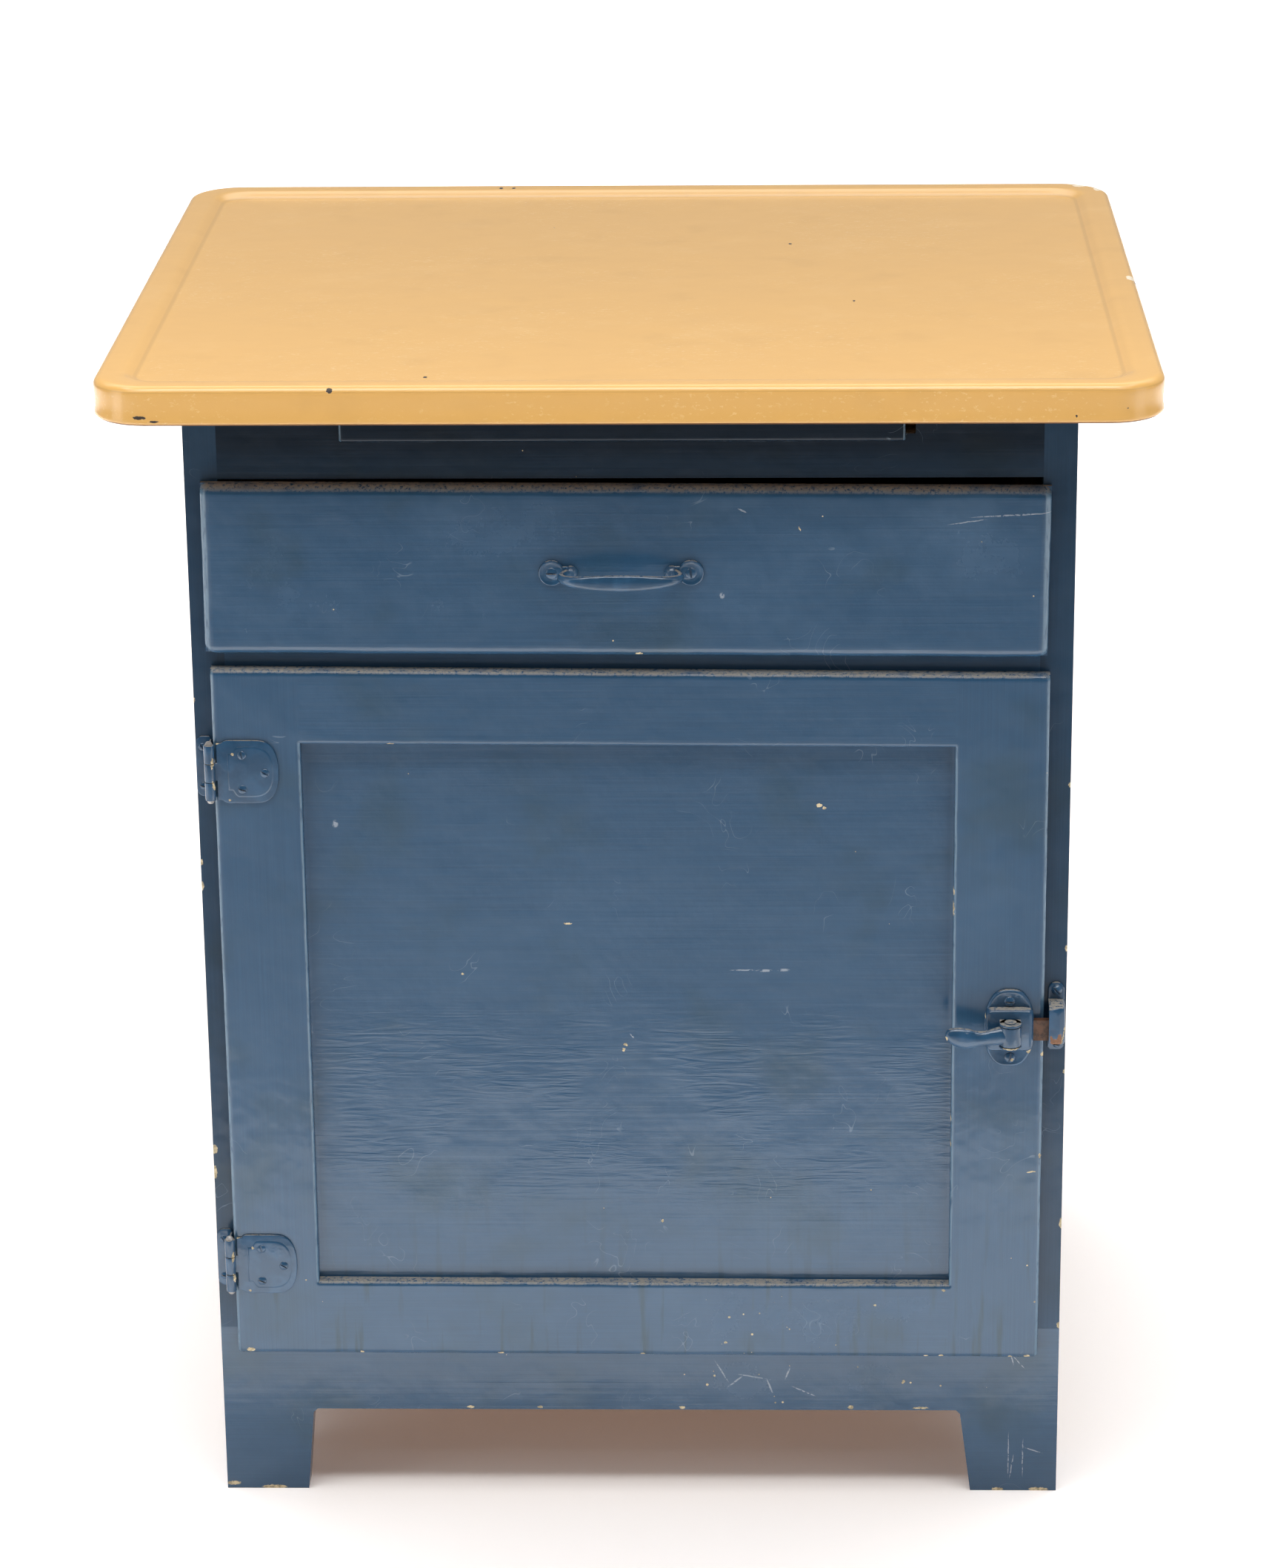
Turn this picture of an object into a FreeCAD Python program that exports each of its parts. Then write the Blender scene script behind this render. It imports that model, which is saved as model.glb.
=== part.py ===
import FreeCAD, Part
import math
import os

from FreeCAD import Vector

# Icebox cabinet, in millimetres. X to the right, Y to the back, Z up, origin on the floor under the middle of the
# enamelled top. The front face of the case lies at y = FACE.

# Case
CASE_W = 609.6
CASE_H = 822.6
FACE = -264.0
BACK = 296.0
SIDE_T = 22.8
RAIL_T = 20.8
BACK_T = 12.0
INSIDE = CASE_W / 2 - SIDE_T
BEHIND_RAILS = FACE + RAIL_T
BACK_FACE = BACK - BACK_T

# Base board and feet
APRON_UNDER = 65.0
BASE_TOP = 131.0
FOOT_DEPTH = 66.0
FOOT_TAPER = 5.4
FOOT_LEFT_IN = -239.3
FOOT_RIGHT_IN = 233.8
FOOT_RIGHT_TAPER = 8.1

# Enamelled top
TOP_W = 722.0
TOP_D = 638.0
TOP_Z = 849.4
TOP_EDGE = 25.6
TOP_CORNER = 38.0
STEEL_T = 1.6
RIM_W = 20.0
RIM_SLOPE = 8.0
FIELD_DROP = 4.5

# Rails, slot and pull-out board
MIDDLE_RAIL_UNDER = 622.0
DRAWER_OPENING_Z = (662.0, 770.8)
SLOT_X = (-196.0, 194.8)
SLOT_Z = 801.8
BOARD_X = (-192.0, 187.5)
BOARD_Z = (803.0, 819.5)
BOARD_D = 420.0
STRIP_X = (-197.7, 187.8)
STRIP_Z = (796.8, 820.0)
STRIP_PROUD = 6.0

# Door and drawer front: both lap over the case by LIP_PROUD, and a thicker part behind fits in the opening
LIP_PROUD = 12.0
LAP_GAP = 0.3
THICK_BEHIND = 7.0
DOOR_X = (-291.4, 288.7)
DOOR_TOP = (637.1, 631.9)
DOOR_UNDER = (115.8, 113.1)
WINDOW_X = (-230.6, 224.0)
WINDOW_TOP = (583.6, 579.8)
WINDOW_UNDER = (172.8, 170.7)
DOOR_CORE_X = 279.0
DOOR_CORE_Z = (134.0, 619.0)
DOOR_ROUND = 4.0
WINDOW_ROUND = 3.5
RECESS = 10.0
PANEL_T = 6.0
PANEL_LAP = 8.0
DRAWER_X = (-294.0, 287.0)
DRAWER_FRONT_H = 121.0
DRAWER_FRONT_Z = 707.0
DRAWER_TILT = 0.40
DRAWER_ROUND = 8.0

# Drawer box
DRAWER_SIDE_X = 278.5
DRAWER_Z = (666.0, 764.0)
DRAWER_D = 473.0
DRAWER_BOARD_T = 12.0

# Cold compartment
LINER_X = 258.0
LINER_Z = (153.0, 602.0)
LINER_BACK = 262.0
SHEET_T = 1.2
CEILING_Z = (626.0, 638.0)
FRAME_FRONT = FACE + 9.0
FRAME_BACK = FACE + 27.0
CLEAT_T = 15.0
CLEAT_H = 18.0
UPPER_CLEAT_TOP = 410.0
LOWER_CLEAT_TOP = 280.0
DRAIN_X = 205.0
DRAIN_Y = 225.0
PIPE_R = 13.0

# Hinges: the pin stands beside the lap of the door and in front of the case
PIN_X = -293.9
PIN_Y = FACE - 14.5
PIN_R = 2.0
KNUCKLE_R = 3.7
RUNNING_GAP = 0.05
HINGE_Z = (563.5, 187.3)
KNUCKLE_H = 40.9
LEAF_T = 1.4

# Latch
DOOR_FACE = FACE - LIP_PROUD
LATCH_X = 264.4
LATCH_Z = 371.8
BOLT_Z = (364.0, 379.3)
BOLT_X = (256.2, 297.2)
BOLT_Y = (FACE - 17.8, FACE - 12.8)
LEVER_Y = FACE - 27.0
BOSS_R = 7.9
BOSS_Z = (364.6, 379.4)
PIVOT_R = 2.5

# Drawer pull
PULL_X = (-53.7, 41.7)
PULL_Z = 707.2
PULL_OUT = 26.0


def box(x, y, z):
    """Box from three (low, high) pairs."""
    return Part.makeBox(x[1] - x[0], y[1] - y[0], z[1] - z[0], Vector(x[0], y[0], z[0]))


def both_sides(x, y, z):
    """The same box on the left and on the right, as two solids."""
    return Part.makeCompound([box(x, y, z), box((-x[1], -x[0]), y, z)])


def plate_xz(points, y):
    """Outline in the plane of the front, given as (x, z) points, made solid from y[0] to y[1]."""
    corners = [Vector(px, y[0], pz) for px, pz in points]
    face = Part.Face(Part.makePolygon(corners + corners[:1]))
    return face.extrude(Vector(0, y[1] - y[0], 0))


def plate_yz(points, x):
    """Outline seen from the side, given as (y, z) points, made solid from x[0] to x[1]."""
    corners = [Vector(x[0], py, pz) for py, pz in points]
    face = Part.Face(Part.makePolygon(corners + corners[:1]))
    return face.extrude(Vector(x[1] - x[0], 0, 0))


def plate_top(points, z):
    """Outline in plan, given as (x, y) points, made solid from z[0] to z[1]."""
    corners = [Vector(px, py, z[0]) for px, py in points]
    face = Part.Face(Part.makePolygon(corners + corners[:1]))
    return face.extrude(Vector(0, 0, z[1] - z[0]))


def rod_y(x, y, z, radius):
    """Round bar along Y from y[0] to y[1]."""
    return Part.makeCylinder(radius, y[1] - y[0], Vector(x, y[0], z), Vector(0, 1, 0))


def rod_x(x, y, z, radius):
    return Part.makeCylinder(radius, x[1] - x[0], Vector(x[0], y, z), Vector(1, 0, 0))


def rod_z(x, y, z, radius):
    return Part.makeCylinder(radius, z[1] - z[0], Vector(x, y, z[0]), Vector(0, 0, 1))


def rounded_rectangle(width, depth, corner, z):
    """Closed wire, centred on the Z axis, with round corners."""
    w, d = width / 2, depth / 2
    s = corner * (1 - math.sqrt(0.5))
    edges = []
    for k in range(4):
        turn = FreeCAD.Rotation(Vector(0, 0, 1), 90 * k)
        a, b = (w, d) if k % 2 == 0 else (d, w)
        start, mid, end = Vector(a, b - corner, z), Vector(a - s, b - s, z), Vector(a - corner, b, z)
        points = [turn.multVec(p) for p in (start, mid, end)]
        edges.append(Part.Arc(*points).toShape())
    wire_edges = []
    for k, edge in enumerate(edges):
        following = edges[(k + 1) % 4]
        wire_edges.append(edge)
        wire_edges.append(Part.makeLine(edge.lastVertex().Point, following.firstVertex().Point))
    return Part.Wire(wire_edges)


def rounded_slab(width, depth, corner, z):
    """Slab with round corners in plan, from z[0] to z[1]."""
    return Part.Face(rounded_rectangle(width, depth, corner, z[0])).extrude(Vector(0, 0, z[1] - z[0]))


def round_edges(shape, radius, wanted):
    """Round the edges whose middle point passes the test."""
    chosen = []
    for edge in shape.Edges:
        middle = edge.valueAt((edge.FirstParameter + edge.LastParameter) / 2)
        if wanted(middle, edge):
            chosen.append(edge)
    return shape.makeFillet(radius, chosen)


def height_at(ends, x):
    """Height along an edge of the sagging door, from its heights at the hinge side and the latch side."""
    along = (x - DOOR_X[0]) / (DOOR_X[1] - DOOR_X[0])
    return ends[0] + (ends[1] - ends[0]) * along


def screw(x, face_y, z, head, shank, turn=0.0):
    """Slotted screw driven towards +Y. head and shank are (radius, length); turn is the angle of the slot."""
    dome_h = head[1]
    sphere_r = (head[0] ** 2 + dome_h**2) / (2 * dome_h)
    ball = Part.makeSphere(sphere_r, Vector(x, face_y - dome_h + sphere_r, z))
    dome = ball.common(rod_y(x, (face_y - dome_h, face_y), z, head[0]))
    slot = Part.makeBox(2.4 * head[0], 0.45 * dome_h, 0.22 * head[0])
    slot.translate(Vector(-1.2 * head[0], 0, -0.11 * head[0]))
    slot.rotate(Vector(0, 0, 0), Vector(0, 1, 0), turn)
    slot.translate(Vector(x, face_y - dome_h, z))
    return dome.cut(slot).fuse(rod_y(x, (face_y, face_y + shank[1]), z, shank[0]))


def side_panel(sign):
    low, high = sorted((sign * INSIDE, sign * CASE_W / 2))
    y0, y1 = FACE, BACK
    outline = [
        (y0, 0),
        (y0 + FOOT_DEPTH - FOOT_TAPER, 0),
        (y0 + FOOT_DEPTH, APRON_UNDER),
        (y1 - FOOT_DEPTH, APRON_UNDER),
        (y1 - FOOT_DEPTH + FOOT_TAPER, 0),
        (y1, 0),
        (y1, CASE_H),
        (y0, CASE_H),
    ]
    panel = plate_yz(outline, (low, high))
    notch = box((low - 1, high + 1), (y0 - 1, BEHIND_RAILS), (-1, BASE_TOP))
    panel = panel.cut(notch)
    if sign > 0:
        return panel.cut(keeper_screws())
    return panel.cut(frame_leaf_screws())


def left_side_panel():
    return side_panel(-1)


def right_side_panel():
    return side_panel(1)


def base_apron():
    half = CASE_W / 2
    outline = [
        (-half, 0),
        (FOOT_LEFT_IN - FOOT_TAPER, 0),
        (FOOT_LEFT_IN, APRON_UNDER - 3),
        (FOOT_LEFT_IN + 3, APRON_UNDER),
        (FOOT_RIGHT_IN - 3, APRON_UNDER),
        (FOOT_RIGHT_IN, APRON_UNDER - 3),
        (FOOT_RIGHT_IN + FOOT_RIGHT_TAPER, 0),
        (half, 0),
        (half, BASE_TOP),
        (-half, BASE_TOP),
    ]
    return plate_xz(outline, (FACE, BEHIND_RAILS))


def top_rail():
    rail = box((-INSIDE, INSIDE), (FACE, BEHIND_RAILS), (DRAWER_OPENING_Z[1], CASE_H))
    return rail.cut(box(SLOT_X, (FACE - 1, BEHIND_RAILS + 1), (SLOT_Z, CASE_H + 1)))


def middle_rail():
    return box((-INSIDE, INSIDE), (FACE, BEHIND_RAILS), (MIDDLE_RAIL_UNDER, DRAWER_OPENING_Z[0]))


def back_panel():
    return box((-INSIDE, INSIDE), (BACK_FACE, BACK), (60.0, CASE_H))


def drain_bore():
    """Path of the drain pipe, to be cut from the boards it passes."""
    return rod_z(DRAIN_X, DRAIN_Y, (52.0, 376.0), PIPE_R)


def bottom_board():
    board = box((-INSIDE, INSIDE), (BEHIND_RAILS, BACK_FACE), (BASE_TOP - 18.0, BASE_TOP))
    return board.cut(drain_bore())


def compartment_ceiling():
    return box((-INSIDE, INSIDE), (BEHIND_RAILS, BACK_FACE), CEILING_Z)


def opening_frame():
    """Four boards behind the door, against which its gasket closes."""
    y = (FRAME_FRONT, FRAME_BACK)
    stiles = both_sides((LINER_X, INSIDE), y, (BASE_TOP, MIDDLE_RAIL_UNDER))
    lower = box((-LINER_X, LINER_X), y, (BASE_TOP, LINER_Z[0] + 2))
    upper = box((-LINER_X, LINER_X), y, (LINER_Z[1] - 2, MIDDLE_RAIL_UNDER))
    return Part.makeCompound(stiles.Solids + [lower, upper])


def drawer_runners():
    return both_sides((LINER_X, INSIDE), (BEHIND_RAILS, BACK_FACE), (CEILING_Z[1], DRAWER_Z[0] - LAP_GAP))


def board_guides():
    """Two rebated bars under the top, which carry the pull-out board by its edges."""
    y = (BEHIND_RAILS, BACK_FACE)
    shelf_top = BOARD_Z[0] - LAP_GAP
    guides = []
    for inner, fence in ((-178.0, -196.0), (174.0, 196.0)):
        outer = fence + math.copysign(15.0, fence)
        ledge = box(sorted((inner, outer)), y, (788.0, shelf_top))
        wall = box(sorted((fence, outer)), y, (shelf_top, CASE_H))
        guides.append(ledge.fuse(wall).removeSplitter())
    return Part.makeCompound(guides)


def top_cleats():
    cleats = both_sides((262.0, INSIDE), (BEHIND_RAILS, BACK_FACE), (CASE_H - 20.0, CASE_H))
    return cleats.cut(top_screws())


def top_screws():
    """Six screws driven up through the cleats into the core board."""
    screws = []
    for x in (-272.0, 272.0):
        for y in (-200.0, 20.0, 240.0):
            head = rod_z(x, y, (CASE_H - 20.0, CASE_H - 17.5), 4.2)
            shank = rod_z(x, y, (CASE_H - 17.5, CASE_H + 14.0), 2.2)
            screws.append(head.fuse(shank))
    return Part.makeCompound(screws)


def enamel_top():
    """Pressed steel tray turned upside down: skirt, rounded arris, raised rim and a field a little lower."""
    skirt_z = TOP_Z - TOP_EDGE
    outer = rounded_slab(TOP_W, TOP_D, TOP_CORNER, (skirt_z, TOP_Z))
    outer = round_edges(outer, 5.5, lambda p, e: abs(p.z - TOP_Z) < 0.01)

    def field(offset, top, under):
        wide = 2 * (RIM_W + offset)
        narrow = 2 * (RIM_W + RIM_SLOPE + offset)
        upper = rounded_rectangle(TOP_W - wide, TOP_D - wide, TOP_CORNER - 12, top)
        lower = rounded_rectangle(TOP_W - narrow, TOP_D - narrow, TOP_CORNER - 18, under)
        return Part.makeLoft([lower, upper], True, True)

    outer = outer.cut(field(0.0, TOP_Z, TOP_Z - FIELD_DROP))
    inset = 2 * STEEL_T
    roof = TOP_Z - STEEL_T
    hollow = rounded_slab(TOP_W - inset, TOP_D - inset, TOP_CORNER - STEEL_T, (skirt_z - 1, roof))
    hollow = round_edges(hollow, 4.0, lambda p, e: abs(p.z - roof) < 0.01)
    hollow = hollow.cut(field(-STEEL_T, roof, roof - FIELD_DROP))
    return outer.cut(hollow)


def core_board():
    """Wooden core under the steel; its lower face shows just below the skirt."""
    inset = 2 * (STEEL_T + 0.6)
    core = rounded_slab(TOP_W - inset, TOP_D - inset, TOP_CORNER - 2, (CASE_H, TOP_Z - FIELD_DROP - STEEL_T))
    return core.cut(top_screws())


def cork_side_slabs():
    return both_sides((LINER_X, INSIDE), (FRAME_BACK, LINER_BACK), (LINER_Z[0], CEILING_Z[0]))


def cork_floor_slab():
    slab = box((-INSIDE, INSIDE), (FRAME_BACK, BACK_FACE), (BASE_TOP, LINER_Z[0]))
    return slab.cut(drain_bore())


def cork_back_slab():
    return box((-INSIDE, INSIDE), (LINER_BACK, BACK_FACE), (LINER_Z[0], CEILING_Z[0]))


def cork_ceiling_slab():
    return box((-LINER_X, LINER_X), (FRAME_BACK, LINER_BACK), (LINER_Z[1], CEILING_Z[0]))


def zinc_liner():
    outer = box((-LINER_X, LINER_X), (FRAME_BACK, LINER_BACK), LINER_Z)
    inner_x = LINER_X - SHEET_T
    inner_z = (LINER_Z[0] + SHEET_T, LINER_Z[1] - SHEET_T)
    inner = box((-inner_x, inner_x), (FRAME_BACK - 1, LINER_BACK - SHEET_T), inner_z)
    return outer.cut(inner).cut(drain_bore())


def shelf_cleats():
    """Two pairs of wooden bars, for the ice tray above and the food shelf below."""
    x = (LINER_X - SHEET_T - CLEAT_T, LINER_X - SHEET_T)
    bars = []
    for top in (UPPER_CLEAT_TOP, LOWER_CLEAT_TOP):
        bars += both_sides(x, (-225.0, 250.0), (top - CLEAT_H, top)).Solids
    return Part.makeCompound(bars)


def ice_tray():
    """Galvanised tray that hangs by its rim from the upper cleats and drains at the back."""
    x, y, z = 238.0, (-210.0, 250.0), (374.8, UPPER_CLEAT_TOP)
    body = box((-x, x), y, z)
    body = body.cut(box((SHEET_T - x, x - SHEET_T), (y[0] + SHEET_T, y[1] - SHEET_T), (z[0] + SHEET_T, z[1] + 1)))
    rim = box((-x - 15, x + 15), (y[0] - 6, y[1] + 6), (z[1], z[1] + SHEET_T))
    rim = rim.cut(box((SHEET_T - x, x - SHEET_T), (y[0] + SHEET_T, y[1] - SHEET_T), (z[1] - 1, z[1] + 2)))
    return body.fuse(rim).removeSplitter().cut(drain_bore())


def ice_rack():
    """Slatted rack that keeps the ice out of its melt water."""
    rack = None
    for x in (-200.0, 0.0, 170.0):
        bearer = box((x - 9, x + 9), (-205.0, 195.0), (376.0, 392.0))
        rack = bearer if rack is None else rack.fuse(bearer)
    slats = 8
    pitch = 400.0 / slats
    for k in range(slats):
        y = -205.0 + k * pitch
        rack = rack.fuse(box((-232.0, 232.0), (y, y + 30.0), (392.0, 402.0)))
    return rack.removeSplitter()


def wire_shelf():
    """Tinned wire food shelf: a rim of thick wire and thin wires from front to back."""
    rim_r, wire_r = 3.0, 1.6
    x, y, z = 250.0, (-212.0, 200.0), LOWER_CLEAT_TOP + rim_r
    shelf = rod_x((-x, x), y[0], z, rim_r)
    for piece in (rod_x((-x, x), y[1], z, rim_r), rod_y(-x, y, z, rim_r), rod_y(x, y, z, rim_r)):
        shelf = shelf.fuse(piece)
    for corner_x in (-x, x):
        for corner_y in y:
            shelf = shelf.fuse(Part.makeSphere(rim_r, Vector(corner_x, corner_y, z)))
    wires = 19
    for k in range(1, wires):
        shelf = shelf.fuse(rod_y(-x + 2 * x * k / wires, y, z + 1.0, wire_r))
    return shelf


def drain_pipe():
    pipe = rod_z(DRAIN_X, DRAIN_Y, (52.0, 376.0), PIPE_R)
    return pipe.cut(rod_z(DRAIN_X, DRAIN_Y, (51.0, 377.0), PIPE_R - 1.2))


def drain_strainer():
    """Perforated disc over the mouth of the drain."""
    disc = rod_z(DRAIN_X, DRAIN_Y, (376.0, 377.6), PIPE_R + 3)
    for k in range(6):
        angle = math.radians(60 * k)
        hole_x = DRAIN_X + 7 * math.cos(angle)
        hole_y = DRAIN_Y + 7 * math.sin(angle)
        disc = disc.cut(rod_z(hole_x, hole_y, (375.0, 379.0), 2.0))
    return disc


def drip_pan():
    """Pan on the floor under the drain, with a turned rim."""
    x, y, z = (-170.0, 226.0), (-20.0, 272.0), (0.4, 48.0)
    pan = box(x, y, z)
    inner_x = (x[0] + SHEET_T, x[1] - SHEET_T)
    inner_y = (y[0] + SHEET_T, y[1] - SHEET_T)
    rim = box((x[0] - 3, x[1] + 3), (y[0] - 3, y[1] + 3), (z[1] - SHEET_T, z[1]))
    return pan.fuse(rim).cut(box(inner_x, inner_y, (z[0] + SHEET_T, z[1] + 1)))


def hinge_pins():
    pins = []
    for centre in HINGE_Z:
        z = (centre - KNUCKLE_H / 2, centre + KNUCKLE_H / 2)
        pin = rod_z(PIN_X, PIN_Y, z, PIN_R)
        for end in z:
            ball = Part.makeSphere(2.6, Vector(PIN_X, PIN_Y, end))
            beyond = sorted((end, end + math.copysign(5, end - centre)))
            pin = pin.fuse(ball.common(rod_z(PIN_X, PIN_Y, beyond, KNUCKLE_R)))
        pins.append(pin)
    return Part.makeCompound(pins)


def knuckle_spans(centre):
    """Heights of the three knuckle barrels, from the bottom up, with a small gap between them."""
    low = centre - KNUCKLE_H / 2
    third = KNUCKLE_H / 3
    gap = 0.2
    return [(low + k * third + gap * (k > 0), low + (k + 1) * third - gap * (k < 2)) for k in range(3)]


def frame_leaf(centre):
    """Narrow leaf on the case edge, with a web that reaches forward to the two outer barrels."""
    height = 44.4
    z = (centre - height / 2, centre + height / 2)
    flange = box((-CASE_W / 2, PIN_X + LEAF_T / 2), (FACE - LEAF_T, FACE), z)
    flange = round_edges(flange, 5.0, lambda p, e: abs(p.x + CASE_W / 2) < 0.01 and abs(e.Length - LEAF_T) < 0.01)
    leaf = flange
    spans = knuckle_spans(centre)
    for span in (spans[0], spans[2]):
        web = box((PIN_X - LEAF_T / 2, PIN_X + LEAF_T / 2), (PIN_Y + PIN_R, FACE), span)
        leaf = leaf.fuse(web).fuse(rod_z(PIN_X, PIN_Y, span, KNUCKLE_R))
    leaf = leaf.cut(rod_z(PIN_X, PIN_Y, z, PIN_R))
    return leaf.cut(frame_leaf_screws())


def frame_leaf_screws():
    screws = []
    for centre in HINGE_Z:
        for offset, turn in ((14.4, 60.0), (-14.4, 15.0)):
            screws.append(screw(-300.0, FACE - LEAF_T, centre + offset, (2.7, 1.0), (1.3, 14.0), turn))
    return Part.makeCompound(screws)


def door_leaf(centre):
    """Wide leaf on the face of the door, with rounded outer corners, a raised pad and the middle barrel."""
    top, under = centre + 23.0, centre - 23.0
    left, right = -289.6, -246.0
    cut_corner = 11.0
    back = DOOR_FACE
    front = back - LEAF_T
    plate = box((left, right), (front, back), (under, top))
    plate = round_edges(
        plate, cut_corner, lambda p, e: abs(p.x - right) < 0.01 and abs(e.Length - LEAF_T) < 0.01
    )
    pad = box((left + 9, right - 4), (front - 0.5, front), (under + 5, top - 5))
    pad = round_edges(pad, 8.0, lambda p, e: abs(p.x - right + 4) < 0.01 and abs(e.Length - 0.5) < 0.01)
    span = knuckle_spans(centre)[1]
    bridge = box((PIN_X, left), (front, back), span)
    leaf = plate.fuse(pad).fuse(bridge).fuse(rod_z(PIN_X, PIN_Y, span, KNUCKLE_R))
    leaf = leaf.cut(rod_z(PIN_X, PIN_Y, (under, top), PIN_R + RUNNING_GAP))
    return leaf.cut(door_leaf_screws())


def door_leaf_screws():
    screws = []
    front = DOOR_FACE - LEAF_T - 0.5
    for centre in HINGE_Z:
        for x, offset, turn in ((-271.3, 12.4, 80.0), (-255.5, -0.7, 30.0), (-271.5, -12.7, 20.0)):
            screws.append(screw(x, front, centre + offset, (3.1, 1.1), (1.5, 14.0), turn))
    return Part.makeCompound(screws)


def upper_hinge_frame_leaf():
    return frame_leaf(HINGE_Z[0])


def lower_hinge_frame_leaf():
    return frame_leaf(HINGE_Z[1])


def upper_hinge_door_leaf():
    return door_leaf(HINGE_Z[0])


def lower_hinge_door_leaf():
    return door_leaf(HINGE_Z[1])


def door_window(y):
    x0, x1 = WINDOW_X
    corners = [
        (x0, height_at(WINDOW_UNDER, x0)),
        (x1, height_at(WINDOW_UNDER, x1)),
        (x1, height_at(WINDOW_TOP, x1)),
        (x0, height_at(WINDOW_TOP, x0)),
    ]
    return plate_xz(corners, y)


def panel_rebate(shrink, y):
    x = (WINDOW_X[0] - PANEL_LAP + shrink, WINDOW_X[1] + PANEL_LAP - shrink)
    z = (WINDOW_UNDER[1] - PANEL_LAP + shrink, WINDOW_TOP[0] + PANEL_LAP - shrink)
    return box(x, y, z)


def door_frame():
    """The whole framed door before it is parted into stiles and rails: lap, thicker core and window."""
    x0, x1 = DOOR_X
    outline = [(x0, DOOR_UNDER[0]), (x1, DOOR_UNDER[1]), (x1, DOOR_TOP[1]), (x0, DOOR_TOP[0])]
    lap = plate_xz(outline, (DOOR_FACE, FACE - LAP_GAP))
    lap = round_edges(lap, DOOR_ROUND, lambda p, e: abs(p.y - DOOR_FACE) < 0.01)
    window = door_window((DOOR_FACE - 1, FACE))
    lap = lap.cut(window)

    def on_window(p, e):
        inside_x = WINDOW_X[0] - 1 < p.x < WINDOW_X[1] + 1
        inside_z = WINDOW_UNDER[1] - 1 < p.z < WINDOW_TOP[0] + 1
        return abs(p.y - DOOR_FACE) < 0.01 and inside_x and inside_z

    lap = round_edges(lap, WINDOW_ROUND, on_window)
    core = box((-DOOR_CORE_X, DOOR_CORE_X), (FACE - LAP_GAP, FACE + THICK_BEHIND), DOOR_CORE_Z)
    core = core.cut(door_window((FACE - 1, FACE + THICK_BEHIND + 1)))
    frame = lap.fuse(core)
    return frame.cut(panel_rebate(0.0, (DOOR_FACE + RECESS, FACE + THICK_BEHIND + 1)))


def rail_tenons():
    """Tongues of the two rails that enter the stiles."""
    y = (FACE - 8.0, FACE - 3.0)
    tongues = []
    for z in ((128.0, 160.0), (596.0, 622.0)):
        tongues.append(box((WINDOW_X[0] - 32, WINDOW_X[0]), y, z))
        tongues.append(box((WINDOW_X[1], WINDOW_X[1] + 32), y, z))
    return tongues


def door_fixings():
    return [door_leaf_screws(), latch_screws()]


def door_stile(x):
    stile = door_frame().common(box(x, (DOOR_FACE - 1, FACE + 20), (0, CASE_H)))
    for shape in rail_tenons() + door_fixings():
        stile = stile.cut(shape)
    return stile


def door_hinge_stile():
    return door_stile((DOOR_X[0] - 1, WINDOW_X[0]))


def door_latch_stile():
    return door_stile((WINDOW_X[1], DOOR_X[1] + 1))


def door_rail(z, tenons):
    rail = door_frame().common(box(WINDOW_X, (DOOR_FACE - 1, FACE + 20), z))
    for tongue in tenons:
        rail = rail.fuse(tongue)
    return rail


def door_bottom_rail():
    return door_rail((0, 300.0), rail_tenons()[:2])


def door_top_rail():
    return door_rail((300.0, CASE_H), rail_tenons()[2:])


def door_panel():
    front = DOOR_FACE + RECESS
    return panel_rebate(0.4, (front, front + PANEL_T))


def door_insulation():
    """Cork behind the panel, thicker where it enters the compartment."""
    behind_panel = DOOR_FACE + RECESS + PANEL_T
    inner = panel_rebate(0.4, (behind_panel, FACE + THICK_BEHIND))
    plug = box((-246.0, 246.0), (FACE + THICK_BEHIND, FACE + 26.0), (167.0, 588.0))
    return inner.fuse(plug)


def door_inner_liner():
    """Sheet metal pan over the plug, with a flange on the back of the door."""
    y0 = FACE + THICK_BEHIND
    pan = box((-247.0, 247.0), (y0, FACE + 27.0), (166.0, 589.0))
    flange = box((-256.0, 256.0), (y0, y0 + 1.0), (157.0, 598.0))
    plug = box((-246.0, 246.0), (y0 - 1, FACE + 26.0), (167.0, 588.0))
    return pan.fuse(flange).cut(plug).removeSplitter()


def door_gasket():
    """Soft strip round the back of the door."""
    y = (FACE + THICK_BEHIND, FRAME_FRONT - LAP_GAP)
    outer = box((-274.0, 274.0), y, (139.0, 614.0))
    return outer.cut(box((-262.0, 262.0), (y[0] - 1, y[1] + 1), (151.0, 602.0)))


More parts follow.
